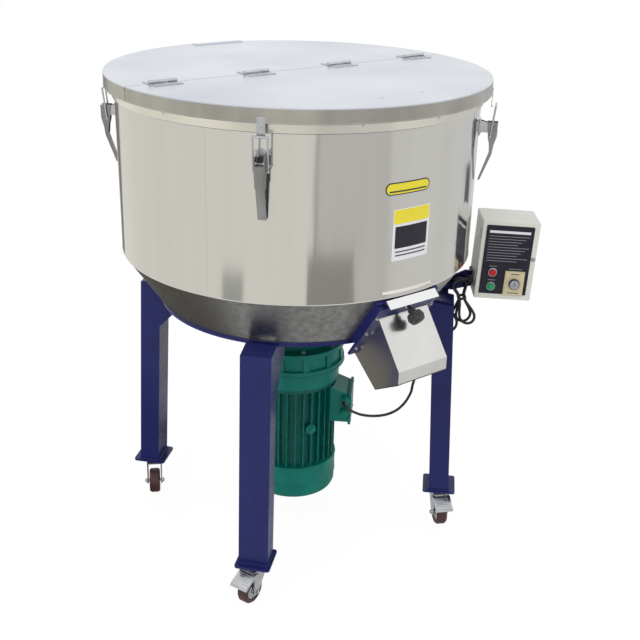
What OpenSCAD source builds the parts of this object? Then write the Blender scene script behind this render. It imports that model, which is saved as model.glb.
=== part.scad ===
// Vertical powder mixer: a covered tub with a conical bottom on four wheeled legs,
// a geared motor under it, a discharge chute at the front and a control box at the side.
// Origin on the floor under the tub's axis, chute towards -Y, +Z up. Azimuth 0 is -Y, +90 is +X.

/* [Tub] */
// Outside diameter of the tub wall
barrel_d = 950; // [850:10:1050]
// Thickness of the tub's sheet
sheet_t = 3; // [2:0.5:4]
// Height of the seam between the tub wall and its cone
seam_h = 870; // [840:5:900]
// Height of the top edge of the tub wall
barrel_top_h = 1336; // [1250:2:1420]
// Outside diameter of the cone at its lower edge
cone_low_d = 752; // [720:4:780]
// Height of the cone's lower edge
cone_low_h = 726; // [716:1:740]
// Height of the flat hoop round the tub's mouth
hoop_h = 25; // [15:1:40]
// Thickness of the hoop
hoop_t = 6; // [3:1:10]
// Radius of the rotor's hub in the tub
hub_r = 45; // [35:1:60]
// Height of the straight part of the rotor's hub
hub_h = 120; // [90:5:150]
// Length of a rotor blade
blade_len = 255; // [200:5:280]
// Width of a rotor blade
blade_w = 60; // [40:2:80]

/* [Lid] */
// How far the lid stands out from the tub wall all round
lid_overhang = 25; // [21:1:30]
// Thickness of the lid's sheet
lid_t = 2; // [1.5:0.5:4]
// Depth of the rim that hangs round the lid
rim_h = 34; // [25:1:40]
// Gap between the two halves of the lid
lid_gap = 2; // [1:0.5:4]
// Length of each lid hinge
hinge_len = 75; // [60:5:90]
// Width of each hinge leaf
leaf_w = 28; // [20:1:36]
// Diameter of the hinge knuckles
knuckle_d = 9; // [8:0.5:12]

/* [Legs] */
// How far a leg leans outwards between its top and its foot
leg_splay = 29; // [0:1:40]
// Width of a leg across the radius
leg_w = 80; // [60:2:90]
// Depth of a leg along the radius
leg_depth = 58; // [50:2:70]
// Gap between the base plate's edge and a leg's inner face at its top
leg_gap = 14; // [10:1:30]
// How far the outer top edge of a leg lies under the tub's lower edge
leg_drop = 10; // [4:1:20]
// Turn of the four legs round the tub's axis
frame_turn = -1; // [-5:0.5:5]
// Side of the square foot plate
foot_side = 96; // [90:2:110]
// Thickness of the foot plate
foot_t = 6; // [4:1:10]
// Thickness of the base plate under the tub
base_t = 10; // [8:1:12]
// Side of the triangular gussets under the base plate
gusset_side = 130; // [80:5:140]
// Thickness of a gusset
gusset_t = 6; // [4:1:8]

/* [Casters] */
// Diameter of a caster wheel
wheel_d = 75; // [63:1:80]
// Width of a caster wheel
wheel_w = 31; // [22:1:34]
// Distance from the swivel axis to the wheel's axle
trail = 28; // [20:1:34]
// Height of the caster from the floor to the foot plate
caster_h = 114; // [110:1:125]

/* [Motor] */
// Diameter over the motor's cooling fins
motor_d = 248; // [220:2:260]
// Height of the lowest point of the fan cover
motor_low_h = 100; // [80:2:120]
// Height of the joint between the fan cover and the fins
fan_top_h = 205; // [190:1:230]
// Height of the joint between the fins and the gearbox
motor_top_h = 463; // [420:1:480]
// Diameter of the gearbox flange
gear_d = 290; // [280:2:310]
// Height of the gearbox flange
flange_h = 68; // [50:2:80]
// Height of the ring between the flange and the fins
adapter_h = 49; // [30:1:60]
// Number of cooling fins
fin_count = 32; // [24:2:40]

/* [Outlet] */
// Width of the discharge chute
chute_w = 160; // [140:2:180]
// Width of the outlet frame
outlet_w = 196; // [180:2:230]
// Height of the centre of the outlet on the cone
outlet_h = 755; // [750:1:765]
// Travel of the gate
gate_travel = 100; // [60:5:120]
// Diameter of the star knob
knob_d = 44; // [36:1:50]
// Height of the star knob's grip
knob_h = 22; // [14:1:28]

/* [Control box] */
// Width of the control box
box_w = 155; // [140:1:170]
// Height of the control box
box_h = 224; // [200:2:250]
// Depth of the control box with its door
box_depth = 119; // [100:1:130]
// Depth of the door
door_depth = 16; // [12:1:24]
// Diameter of a push button
button_d = 18; // [14:1:22]

/* [Latches] */
// Width of the strike strip
strike_w = 19; // [14:1:22]
// Diameter of the bail wire
bail_wire = 5; // [4:0.5:6]
// Width inside the bail
bail_inner = 29; // [27:1:34]

/* [Cords] */
// Diameter of the motor cable
motor_cord_d = 8; // [7:0.5:11]
// Number of turns laid beside each other in the cable's hank
hank_turns = 3; // [2:1:4]

/* [Hidden] */
$fn = 64;
round_fn = 128;
barrel_r = barrel_d / 2;
lid_r = barrel_r + lid_overhang;
cone_low_r = cone_low_d / 2;
lid_top_h = barrel_top_h + lid_t;
hinge_axis_h = lid_top_h + knuckle_d / 2;
leg_top_h = cone_low_h - leg_drop;
// Distance of a leg's centre from the axis at its foot
leg_r = cone_low_r + leg_gap + leg_depth / 2 + leg_splay;
// Tilt of the cone from the vertical and its slope
cone_run = (barrel_r - cone_low_r) / (seam_h - cone_low_h);
cone_tilt = atan(cone_run);
base_top_h = cone_low_h;
base_low_h = base_top_h - base_t;
// Azimuths of the legs, the latches and the casters, in the order FL, FR, RR, RL
leg_azimuths = [-47.5 + frame_turn, 47 + frame_turn, 132.5 + frame_turn, -137.5 + frame_turn];
latch_azimuths = [-45.5, 42.5, 132.5, -128.5];
caster_azimuths = [-70, -28, -30, -30];
hinge_places = [-400, -133, 133, 400];
pin_r = 2;
shaft_r = 28;
blade_t = 8;
run_clear = 0.05;
seat = 0.3;
foot_top_h = caster_h + foot_t;
// Outlet frame in the plane that touches the cone, measured along the slope and out of it
outlet_r = cone_low_r + (outlet_h - cone_low_h) * cone_run;
saddle_t = 2;
gate_t = 3;
gate_low = 3.5;
front_low = 8;
front_t = 7;
opening_w = 140;
opening_low = -30;
opening_high = 60;
frame_low = -74;
frame_high = 128;
front_high = 119;
rail_w = (outlet_w - chute_w) / 2 - 0.5;
gate_high = 138;
lip_len = 24;
lip_drop = 9;
chute_t = 2;
stud_v = 108;
stud_r = 5;
knob_gap = 26;
// Latch: radius and height of the pins, the strike and the bail bar
pivot_gap = 38;
pivot_r = barrel_r + pivot_gap;
pivot_h = barrel_top_h - 119;
bail_pin = [-8, -20];
bail_top = [0, 59];
strike_foot = [-12, 55];
bracket_w = 18;
cheek_t = 2.5;
lever_w = bracket_w + 2 + 2 * cheek_t;
latch_pin_r = 2.5;
// Control box: centre of the door's face from the leg that carries it, its facing and its roll
box_reach = [105.736, -85.793, 115];
box_face = [
    leg_r * sin(leg_azimuths[1]) + box_reach[0], -leg_r * cos(leg_azimuths[1]) + box_reach[1],
    base_top_h + box_reach[2]];
box_facing = -37.9;
box_roll = 2.2;
box_wall = 2;
door_gap = 0.5;
panel_w = 131;
panel_h = 188;
panel_t = 1;
timer_w = 54;
timer_h = 70;
gland_y = -75;
gland_z = -48.6;
gland_len = 8;

module at_azimuth(a) rotate([0, 0, a - 90]) children();
module across(w) translate([0, w / 2, 0]) rotate([90, 0, 0]) linear_extrude(w) children();
module ring_solid(r_out, r_in, z_low, z_high) translate([0, 0, z_low]) difference() {
    cylinder(r = r_out, h = z_high - z_low, $fn = round_fn);
    translate([0, 0, -1]) cylinder(r = r_in, h = z_high - z_low + 2, $fn = round_fn);
}

// Tub
module barrel_wall() color("silver")
    ring_solid(barrel_r, barrel_r - sheet_t, seam_h, barrel_top_h);
module rim_hoop() color("gainsboro")
    ring_solid(barrel_r + hoop_t, barrel_r, lid_top_h - rim_h - hoop_h, lid_top_h - rim_h);
module cone_body(grow = 0) translate([0, 0, cone_low_h])
    cylinder(r1 = cone_low_r + grow, r2 = barrel_r + grow, h = seam_h - cone_low_h, $fn = round_fn);
module outlet_space() translate([0, -outlet_r, outlet_h]) rotate([90 + cone_tilt, 0, 0])
    translate([-opening_w / 2, opening_low, -60])
        cube([opening_w, opening_high - opening_low, 120]);
module barrel_cone() color("darkgray") difference() {
    cone_body();
    translate([0, 0, -0.01]) cone_body(-sheet_t);
    translate([0, 0, seam_h - 0.02]) cylinder(r = barrel_r, h = 1);
    outlet_space();
}
module barrel_floor() color("silver") translate([0, 0, base_top_h]) difference() {
    cylinder(r = cone_low_r - sheet_t - 1, h = sheet_t, $fn = round_fn);
    translate([0, 0, -1]) cylinder(r = shaft_r + 3, h = sheet_t + 2);
}
module agitator() color("silver") {
    translate([0, 0, base_top_h + sheet_t + 4]) {
        cylinder(r = hub_r, h = hub_h);
        translate([0, 0, hub_h]) cylinder(r1 = hub_r, r2 = hub_r / 3, h = hub_h / 3);
        for (a = [0, 120, 240]) rotate([0, 0, a]) translate([hub_r - 5, 0, 6])
            rotate([35, 0, 0]) translate([0, -blade_t / 2, 0]) cube([blade_len, blade_t, blade_w]);
    }
    translate([0, 0, base_low_h + 1]) cylinder(r = shaft_r, h = base_t + sheet_t + 4);
}

// Lid
module half_disc(r, side, gap) intersection() {
    circle(r = r, $fn = round_fn);
    translate([-r, side > 0 ? gap / 2 : -r]) square([2 * r, r - gap / 2]);
}
module lid_half(side) color("gainsboro") {
    translate([0, 0, barrel_top_h]) linear_extrude(lid_t) half_disc(lid_r, side, lid_gap);
    translate([0, 0, lid_top_h - rim_h]) linear_extrude(rim_h - lid_t + 0.01) difference() {
        half_disc(lid_r, side, lid_gap);
        circle(r = lid_r - lid_t, $fn = round_fn);
    }
}
module lid_rear() lid_half(1);
module lid_front() lid_half(-1);
module leaf(side) translate([-hinge_len / 2, side > 0 ? knuckle_d / 2 + 0.5 : -knuckle_d / 2 - 0.5 - leaf_w, lid_top_h])
    cube([hinge_len, leaf_w, 2]);
module knuckle(x0, x1, side, bore) difference() {
    union() {
        translate([x0, 0, hinge_axis_h]) rotate([0, 90, 0]) cylinder(d = knuckle_d, h = x1 - x0);
        translate([x0, side > 0 ? 0 : -knuckle_d / 2 - 1, lid_top_h + 0.2])
            cube([x1 - x0, knuckle_d / 2 + 1, 1.8]);
    }
    if (bore > 0) translate([x0 - 1, 0, hinge_axis_h]) rotate([0, 90, 0])
        cylinder(r = bore, h = x1 - x0 + 2);
}
knuckle_len = hinge_len / 3;
module lid_hinges_rear() color("lightgray") for (x = hinge_places) translate([x, 0, 0]) {
    leaf(1);
    knuckle(-hinge_len / 2, -knuckle_len / 2 - 0.5, 1, 0);
    knuckle(knuckle_len / 2 + 0.5, hinge_len / 2, 1, 0);
    translate([-hinge_len / 2, 0, hinge_axis_h]) rotate([0, 90, 0]) cylinder(r = pin_r, h = hinge_len);
}
module lid_hinges_front() color("lightgray") for (x = hinge_places) translate([x, 0, 0]) {
    leaf(-1);
    knuckle(-knuckle_len / 2, knuckle_len / 2, -1, pin_r + run_clear);
}
module strike(a) at_azimuth(a) across(strike_w) polygon([
    [lid_r, lid_top_h - rim_h + 14], [lid_r + 2, lid_top_h - rim_h + 14],
    [lid_r + 2, pivot_h + strike_foot[1] + 2], [lid_r + 4.5, pivot_h + strike_foot[1] + 1],
    [lid_r + 4.5, pivot_h + strike_foot[1] - 1], [lid_r, pivot_h + strike_foot[1] - 1]]);
module strikes_rear() color("silver") for (i = [2, 3]) strike(latch_azimuths[i]);
module strikes_front() color("silver") for (i = [0, 1]) strike(latch_azimuths[i]);
module rear_lid_tab() color("silver") translate([-30, lid_r - 34, lid_top_h]) cube([160, 22, 2.5]);

// Latches, in a frame with x outwards from the wall and z up, centred on the lever's pin
module at_latch(i) at_azimuth(latch_azimuths[i]) translate([pivot_r, 0, pivot_h]) children();
module pin_hole(r) rotate([90, 0, 0]) cylinder(r = r, h = 80, center = true);
module latch_bracket() difference() {
    union() {
        translate([-pivot_gap + seat, -19, -20]) cube([2.7, 38, 42]);
        for (s = [-1, 1]) translate([0, s * (bracket_w / 2 - 1), 0]) across(2)
            polygon([[-36, -12], [-36, 18], [-12, 12], [0, 6], [4.5, 4], [6, 0], [4.5, -4], [0, -6], [-8, -12]]);
    }
    pin_hole(latch_pin_r + run_clear);
}
module latch_brackets() color("lightgray") for (i = [0 : 3]) at_latch(i) latch_bracket();
module lever_side() polygon([
    [-18, 15], [9, 15], [8, -20], [2, -42], [-1, -66], [-26, -136], [-31, -138],
    [-8, -64], [-10, -40], [-14, -24]]);
module latch_lever() color("silver") {
    difference() {
        across(lever_w) lever_side();
        translate([-2, 0, 0]) across(lever_w - 2 * cheek_t) polygon([
            [-40, 30], [14, 30], [14, -4], [9, -4], [8, -30], [-1, -44], [-4, -60], [-40, -60]]);
        translate([0, 0, 0]) pin_hole(latch_pin_r);
        translate([bail_pin[0], 0, bail_pin[1]]) pin_hole(bail_wire / 2 + run_clear);
        for (s = [-1, 1]) translate([0, s * 13.6, -115]) cube([90, 7, 115], center = true);
    }
    rotate([90, 0, 0]) cylinder(r = latch_pin_r, h = lever_w + 1.5, center = true);
}
module rod(a, b, d) {
    v = b - a;
    translate(a) rotate([0, atan2(norm([v[0], v[1]]), v[2]), atan2(v[1], v[0])]) cylinder(d = d, h = norm(v));
}
module latch_bail() color("gainsboro") {
    side_wire = bail_wire - 0.4;
    y = bail_inner / 2 + side_wire / 2;
    for (s = [-1, 1]) {
        rod([bail_pin[0], s * y, bail_pin[1]], [bail_top[0], s * y, bail_top[1]], side_wire);
        translate([bail_pin[0], s * (lever_w / 2 - cheek_t), bail_pin[1]]) rotate([-s * 90, 0, 0])
            cylinder(d = bail_wire, h = y + side_wire / 2 + 0.5 - lever_w / 2 + cheek_t);
    }
    translate([bail_top[0], 0, bail_top[1]]) rotate([90, 0, 0])
        cylinder(d = bail_wire, h = 2 * y + side_wire + 1, center = true);
}

// Frame
module base_plate() color("midnightblue")
    ring_solid(cone_low_r, 60, base_low_h, base_top_h);
leg_low_h = foot_top_h;
foot_round = 8;
module rounded_square(side, r) hull() for (x = [-1, 1], y = [-1, 1])
    translate([x * (side / 2 - r), y * (side / 2 - r)]) circle(r = r, $fn = 16);
function leg_shift(h) = leg_r - leg_splay * (h - leg_low_h) / (leg_top_h - leg_low_h);
race_h = 8;
module leg(a) color("midnightblue") at_azimuth(a) {
    in_top = base_top_h;
    across(leg_w) polygon([
        [leg_shift(leg_low_h) - leg_depth / 2, leg_low_h], [leg_shift(leg_low_h) + leg_depth / 2, leg_low_h],
        [leg_shift(leg_top_h) + leg_depth / 2, leg_top_h], [leg_shift(in_top) - leg_depth / 2, in_top]]);
    gusset_out = leg_shift(base_low_h) - leg_depth / 2;
    for (s = [-1, 1]) translate([0, s * (leg_w - gusset_t) / 2, 0]) across(gusset_t) polygon([
        [gusset_out + 6, base_low_h], [gusset_out - gusset_side, base_low_h],
        [gusset_out + 6, base_low_h - gusset_side - 6]]);
    translate([leg_r, 0, caster_h]) linear_extrude(foot_t + 0.01) rounded_square(foot_side, foot_round);
    translate([leg_r, 0, caster_h - race_h]) difference() {
        cylinder(r = 26, h = race_h + 0.01);
        translate([0, 0, -1]) cylinder(r = 6 + run_clear, h = race_h + 2);
    }
}

// Casters
module at_caster(i) at_azimuth(leg_azimuths[i]) translate([leg_r, 0, 0])
    rotate([0, 0, caster_azimuths[i] - leg_azimuths[i]]) children();
wheel_r = wheel_d / 2;
arm_t = 3;
arm_gap = 4;
fork_top_h = caster_h - race_h - seat;
axle_r = 4;
module fork() color("silver") {
    arm_y = wheel_w / 2 + arm_gap;
    crown_t = 5;
    translate([0, 0, fork_top_h - crown_t]) cylinder(r = 24, h = crown_t);
    translate([0, 0, fork_top_h - 1]) cylinder(r = 6, h = race_h - 1);
    translate([-20, -arm_y - arm_t, fork_top_h - crown_t - 3]) cube([54, 2 * (arm_y + arm_t), 4]);
    for (s = [-1, 1]) translate([0, s * (arm_y + arm_t / 2), 0]) across(arm_t) hull() {
        translate([trail, wheel_r]) circle(r = 11, $fn = 32);
        translate([-20, fork_top_h - 16]) square([54, 12]);
    }
    translate([trail, 0, wheel_r]) rotate([90, 0, 0])
        cylinder(r = axle_r, h = 2 * (arm_y + arm_t) + 1, center = true);
    for (s = [-1, 1]) translate([trail, s * (arm_y + arm_t + 2), wheel_r]) rotate([90, 0, 0])
        cylinder(r = 7, h = 4.01, center = true, $fn = 6);
}
module wheel() color("maroon") translate([trail, 0, wheel_r]) rotate([90, 0, 0]) rotate_extrude($fn = round_fn)
    polygon([
        [axle_r + run_clear, -wheel_w / 2 - 1], [10, -wheel_w / 2 - 1], [10, -wheel_w / 2 + 4],
        [25, -wheel_w / 2 + 4], [27, -wheel_w / 2], [wheel_r - 4, -wheel_w / 2], [wheel_r, -wheel_w / 2 + 5],
        [wheel_r, wheel_w / 2 - 5], [wheel_r - 4, wheel_w / 2], [27, wheel_w / 2], [25, wheel_w / 2 - 4],
        [10, wheel_w / 2 - 4], [10, wheel_w / 2 + 1], [axle_r + run_clear, wheel_w / 2 + 1]]);
pedal_pin = [26, 88];
module brake_pedal() color("gainsboro") {
    w = 2 * (wheel_w / 2 + arm_gap) + 2 * arm_t + 8;
    difference() {
        translate([pedal_pin[0], 0, pedal_pin[1]]) union() {
            across(w) polygon([[12, 8], [52, -14], [54, -19], [50, -19], [12, 3]]);
            for (s = [-1, 1]) translate([0, s * (w / 2 - 1.25), 0]) across(2.5)
                polygon([[-6, -5], [-6, 6], [12, 8], [40, -7.4], [34, -8], [16, -6]]);
        }
        translate([pedal_pin[0], 0, pedal_pin[1]]) pin_hole(3 + run_clear);
    }
}
module fork_braked() {
    fork();
    color("silver") translate([pedal_pin[0], 0, pedal_pin[1]]) rotate([90, 0, 0])
        cylinder(r = 3, h = 2 * (wheel_w / 2 + arm_gap) + 2 * arm_t + 7, center = true);
}

// Drive
adapter_top_h = motor_top_h + adapter_h;
flange_top_h = adapter_top_h + flange_h;
neck_h = 31;
drum_low_h = flange_top_h + neck_h;
flange_rim = 14;
module gearbox() color("teal") {
    rotate_extrude($fn = round_fn) polygon([
        [0, motor_top_h], [motor_d / 2 + 7, motor_top_h], [motor_d / 2 + 7, adapter_top_h],
        [gear_d / 2, adapter_top_h], [gear_d / 2, adapter_top_h + flange_rim],
        [gear_d / 2 - 8, adapter_top_h + flange_rim + 2], [gear_d / 2 - 8, flange_top_h - flange_rim - 2],
        [gear_d / 2, flange_top_h - flange_rim], [gear_d / 2, flange_top_h],
        [gear_d / 2 - 32, flange_top_h], [gear_d / 2 - 32, drum_low_h],
        [gear_d / 2 + 5, drum_low_h], [gear_d / 2 + 5, base_low_h - 18],
        [gear_d / 2 - 20, base_low_h - seat], [0, base_low_h - seat]]);
    for (k = [0 : 11]) rotate([0, 0, k * 30 + 8]) translate([gear_d / 2 - 14, -9, adapter_top_h + flange_rim])
        cube([11, 18, flange_h - 2 * flange_rim]);
    translate([0, 0, base_low_h - 1]) cylinder(r = 24, h = 1.3);
}
module motor_body() color("teal") {
    translate([0, 0, fan_top_h]) cylinder(r = motor_d / 2 - 14, h = motor_top_h - fan_top_h - seat);
    for (k = [0 : fin_count - 1]) rotate([0, 0, k * 360 / fin_count])
        translate([motor_d / 2 - 18, -2, fan_top_h + 6]) cube([18, 4, motor_top_h - fan_top_h - 18]);
    translate([0, 0, motor_top_h - 14 - seat]) cylinder(r = motor_d / 2 - 1, h = 14);
}
fan_r = motor_d / 2 + 3;
module fan_cover() color("teal") difference() {
    rotate_extrude($fn = round_fn) polygon([
        [0, motor_low_h], [fan_r - 16, motor_low_h], [fan_r - 5, motor_low_h + 5], [fan_r - 1, motor_low_h + 14],
        [fan_r - 1, motor_low_h + 40], [fan_r, motor_low_h + 42], [fan_r, fan_top_h - seat], [0, fan_top_h - seat]]);
    for (k = [0 : 23]) rotate([0, 0, k * 15]) translate([50, -3, motor_low_h - 1]) cube([38, 6, 8]);
}
terminal_azimuth = 47;
terminal_w = 104;
terminal_depth = 42;
terminal_h = 118;
terminal_high_h = motor_top_h - 18;
terminal_low_h = terminal_high_h - terminal_h;
gland_out = 32;
gland_d = 24;
gland_pitch = 40;
gland_rise = 42;
module terminal_box() color("teal") at_azimuth(terminal_azimuth) difference() {
    translate([motor_d / 2, 0, 0]) {
        across(terminal_w) polygon([
            [-14, terminal_low_h + 6], [terminal_depth, terminal_low_h + 6],
            [terminal_depth, terminal_high_h - 22], [-14, terminal_high_h]]);
        translate([terminal_depth - 0.01, -terminal_w / 2 - 3, terminal_low_h])
            cube([8, terminal_w + 6, terminal_high_h - 16 - terminal_low_h]);
        for (z = [0, gland_pitch])
            translate([gland_out, -terminal_w / 2 + 1, terminal_low_h + gland_rise + z]) rotate([90, 0, 0])
                cylinder(d = gland_d, h = 15);
    }
    translate([0, 0, terminal_low_h - 10])
        cylinder(r = motor_d / 2 + seat, h = terminal_h + 20, $fn = round_fn);
}

// Outlet, in the plane touching the cone: x across, y up the slope, z outwards
module at_outlet() translate([0, -outlet_r, outlet_h]) rotate([90 + cone_tilt, 0, 0]) children();
module outlet_frame() color("midnightblue") {
    difference() {
        at_outlet() difference() {
            union() {
                translate([-outlet_w / 2, opening_low - 2, -30])
                    cube([outlet_w, frame_high - opening_low + 2, 30 + saddle_t]);
                for (s = [-1, 1]) translate([s * (outlet_w / 2 - rail_w / 2) - rail_w / 2, opening_low - 2, -30])
                    cube([rail_w, front_high - opening_low + 2, 31 + front_low]);
            }
            translate([-opening_w / 2, opening_low, -60]) cube([opening_w, opening_high - opening_low, 120]);
        }
        cone_body(seat);
        translate([0, 0, seam_h - 1]) cylinder(r = barrel_r + seat, h = 200, $fn = round_fn);
        translate([0, 0, base_low_h - 200]) cylinder(r = 600, h = 200 + base_t + seat);
    }
    at_outlet() difference() {
        translate([-outlet_w / 2, frame_low, front_low]) cube([outlet_w, front_high - frame_low, front_t]);
        translate([-chute_w / 2 + 8, frame_low + 14, 0]) cube([chute_w - 16, opening_high - frame_low - 14, 40]);
        translate([0, stud_v, 0]) cylinder(r = stud_r + run_clear, h = 40);
    }
}
module gate_plate() color("white") at_outlet() {
    low = opening_low + 2;
    lip_top = gate_high - lip_len * sin(lip_drop);
    lip_out = gate_low + lip_len * cos(lip_drop);
    rotate([90, 0, 90]) translate([0, 0, -chute_w / 2 + 1]) linear_extrude(chute_w - 2) polygon([
        [low, gate_low], [gate_high, gate_low], [lip_top, lip_out],
        [lip_top - gate_t, lip_out - 1], [gate_high - gate_t - 1, gate_low + gate_t], [low, gate_low + gate_t]]);
}
function slope_point(v, w) = [-outlet_r - v * sin(cone_tilt) - w * cos(cone_tilt),
    outlet_h + v * cos(cone_tilt) - w * sin(cone_tilt)];
front_face = front_low + front_t;
chute_high = 80;
chute_back_top = slope_point(chute_high, front_face);
chute_back_low = slope_point(-72, front_face);
chute_nose = [-537, 700];
chute_lip = [-537, 666];
chute_heel = [-452, 619];
module discharge_chute() color("silver") {
    inner_top = slope_point(chute_high - chute_t - 1, front_face - 20);
    inner_low = slope_point(-72 + chute_t + 1, front_face - 20);
    translate([-chute_w / 2, 0, 0]) rotate([90, 0, 90]) difference() {
        linear_extrude(chute_w) polygon([chute_back_top, chute_nose, chute_lip, chute_heel, chute_back_low]);
        translate([0, 0, chute_t]) linear_extrude(chute_w - 2 * chute_t) polygon([
            inner_top, chute_nose + [chute_t, -1], chute_lip + [chute_t, -40],
            chute_heel + [12, -16], chute_heel + [2, 2.6], inner_low]);
    }
}
module star_knob() color([0.1, 0.1, 0.1]) at_outlet() translate([0, stud_v, 0]) {
    tip = gate_low + gate_t + 0.5;
    translate([0, 0, tip]) cylinder(r = stud_r, h = front_face + knob_gap - tip);
    translate([0, 0, front_face + knob_gap - 12]) cylinder(r = 10, h = 13);
    translate([0, 0, front_face + knob_gap]) difference() {
        union() {
            cylinder(d1 = knob_d - 6, d2 = knob_d, h = knob_h / 2);
            translate([0, 0, knob_h / 2]) cylinder(d1 = knob_d, d2 = knob_d - 8, h = knob_h / 2);
        }
        for (k = [0 : 6]) rotate([0, 0, k * 360 / 7]) translate([knob_d / 2 + 3, 0, -1])
            cylinder(r = 7, h = knob_h + 2);
    }
}

// Control box: x to the right across its face, y upwards, z out of its face
module at_box() translate(box_face) rotate([0, 0, box_facing]) rotate([90, 0, 0])
    rotate([0, 0, -box_roll]) children();
module control_box() color("ivory") at_box() {
    difference() {
        translate([-box_w / 2, -box_h / 2, -box_depth]) cube([box_w, box_h, box_depth - door_depth - door_gap]);
        translate([-box_w / 2 + box_wall, -box_h / 2 + box_wall, -box_depth + box_wall])
            cube([box_w - 2 * box_wall, box_h - 2 * box_wall, box_depth]);
    }
    translate([-box_w / 2 + 0.01, gland_y, gland_z]) rotate([0, -90, 0]) cylinder(d = 15, h = gland_len);
}
module control_box_door() color("ivory") at_box() difference() {
    translate([-box_w / 2, -box_h / 2, -door_depth]) cube([box_w, box_h, door_depth]);
    translate([-box_w / 2 + box_wall, -box_h / 2 + box_wall, -door_depth - 1])
        cube([box_w - 2 * box_wall, box_h - 2 * box_wall, door_depth + 1 - box_wall]);
    for (p = [button_stop, button_start]) translate([p[0], p[1], -10]) cylinder(d = button_d + 0.1, h = 20);
    translate([timer_at[0], timer_at[1], -10]) cube([timer_w - 8, timer_h - 8, 30], center = true);
}
panel_at = [-2, -3];
button_stop = [-36, -34];
button_start = [-36, -75];
timer_at = [26, -62];
module control_panel() color([0.14, 0.14, 0.18]) at_box() difference() {
    translate([panel_at[0] - panel_w / 2, panel_at[1] - panel_h / 2, 0]) cube([panel_w, panel_h, panel_t]);
    for (p = [button_stop, button_start]) translate([p[0], p[1], -1]) cylinder(d = button_d + 0.1, h = 5);
    translate([timer_at[0], timer_at[1], 0]) cube([timer_w - 8, timer_h - 8, 5], center = true);
}
module timer_body() color("wheat") at_box() difference() {
    union() {
        translate([timer_at[0] - timer_w / 2, timer_at[1] - timer_h / 2, panel_t]) cube([timer_w, timer_h, 5]);
        translate([timer_at[0] - timer_w / 2 + 5, timer_at[1] - timer_h / 2 + 5, -35])
            cube([timer_w - 10, timer_h - 10, 36 + panel_t]);
    }
    translate([timer_at[0], timer_at[1], -1]) cylinder(r = 3 + run_clear, h = 20);
}
module timer_dial() color([0.2, 0.2, 0.25]) at_box() translate([timer_at[0], timer_at[1], 0]) {
    translate([0, 0, 0]) cylinder(r = 3, h = 12);
    translate([0, 0, panel_t + 5 + seat]) cylinder(r1 = 15, r2 = 13, h = 9);
}
module push_button() {
    translate([0, 0, -8]) cylinder(d = button_d - 0.1, h = 16);
    translate([0, 0, -10]) cylinder(d = button_d + 4, h = 2.5);
}
module stop_button() color("red") at_box() translate([button_stop[0], button_stop[1], 0]) push_button();
module start_button() color("green") at_box() translate([button_start[0], button_start[1], 0]) push_button();
bracket_t = 6;
arm_z = -79;
module control_box_arm() color("midnightblue") {
    cap_r = leg_shift(leg_top_h) + leg_depth / 2;
    at_azimuth(leg_azimuths[1]) for (strip = [[5, 70, 0], [56, 36, 16]])
        translate([0, strip[0], 0]) across(strip[1]) intersection() {
            polygon([
                [cap_r - leg_depth, base_top_h + seat], [cap_r, leg_top_h + seat],
                [cap_r, leg_top_h + bracket_t], [cap_r - leg_depth, base_top_h + bracket_t]]);
            square([cap_r - strip[2], 2 * base_top_h]);
        }
    at_box() translate([0, 0, arm_z]) linear_extrude(bracket_t) polygon([
        [-186, -118], [-132, -122], [-box_w / 2 - 1, -106], [-box_w / 2 - 1, -60],
        [-box_w / 2 - 22, -60], [-186, -108]]);
    at_box() translate([-box_w / 2 - bracket_t, -106, arm_z - 30]) cube([bracket_t, 46, 30 + bracket_t]);
}

// Cords
function ring_of(r, n) = [for (k = [0 : n - 1]) [r * cos(360 * k / n), r * sin(360 * k / n)]];
function unit(v) = v / norm(v);
function tangent(p, i) = i == 0 ? unit(p[1] - p[0]) : i == len(p) - 1 ? unit(p[i] - p[i - 1]) : unit(p[i + 1] - p[i - 1]);
function side_of(t, s) = unit(s - (s * t) * t);
function carried(p, i, s) = i == 0 ? side_of(tangent(p, 0), s) : side_of(tangent(p, i), carried(p, i - 1, s));
function spline(p, i, t) = let(
    a = p[max(i - 1, 0)], b = p[i], c = p[i + 1], d = p[min(i + 2, len(p) - 1)])
    0.5 * (2 * b + (c - a) * t + (2 * a - 5 * b + 4 * c - d) * t * t + (3 * b - a - 3 * c + d) * t * t * t);
function smooth(p, k) = concat([for (i = [0 : len(p) - 2], j = [0 : k - 1]) spline(p, i, j / k)], [p[len(p) - 1]]);
module tube(path, d, n = 8, start = [0, 0, 1]) {
    rings = [for (i = [0 : len(path) - 1]) let(t = tangent(path, i), s = carried(path, i, start), u = cross(t, s))
        [for (q = ring_of(d / 2, n)) path[i] + q[0] * s + q[1] * u]];
    points = [for (r = rings, p = r) p];
    last = len(path) - 1;
    faces = concat([[for (k = [n - 1 : -1 : 0]) k]],
        [for (i = [0 : last - 1], k = [0 : n - 1]) [i * n + k, i * n + (k + 1) % n, (i + 1) * n + (k + 1) % n, (i + 1) * n + k]],
        [[for (k = [0 : n - 1]) last * n + k]]);
    polyhedron(points = points, faces = [for (f = faces) [for (j = [len(f) - 1 : -1 : 0]) f[j]]]);
}
motor_route = [
    [69, -155, 409], [58, -166, 408], [57, -180, 401], [74, -188, 388], [102, -188, 370], [136, -186, 354],
    [170, -186, 343], [205, -190, 339], [238, -196, 346], [264, -202, 367], [279, -208, 398], [282, -212, 430], [296, -218, 479], [317, -230, 528],
    [342, -245, 566], [365, -260, 590], [378, -271, 609], [380, -272, 630], [376, -270, 650]];
module motor_cable() color([0.08, 0.08, 0.08]) tube(smooth(motor_route, 4), motor_cord_d, 8);
supply_route = [
    [359.6, -281.3, 762.7], [362.8, -284.4, 764.4], [370.3, -290.5, 767.2], [381.0, -298.8, 769.6],
    [387.8, -304.1, 769.4]
];
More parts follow.
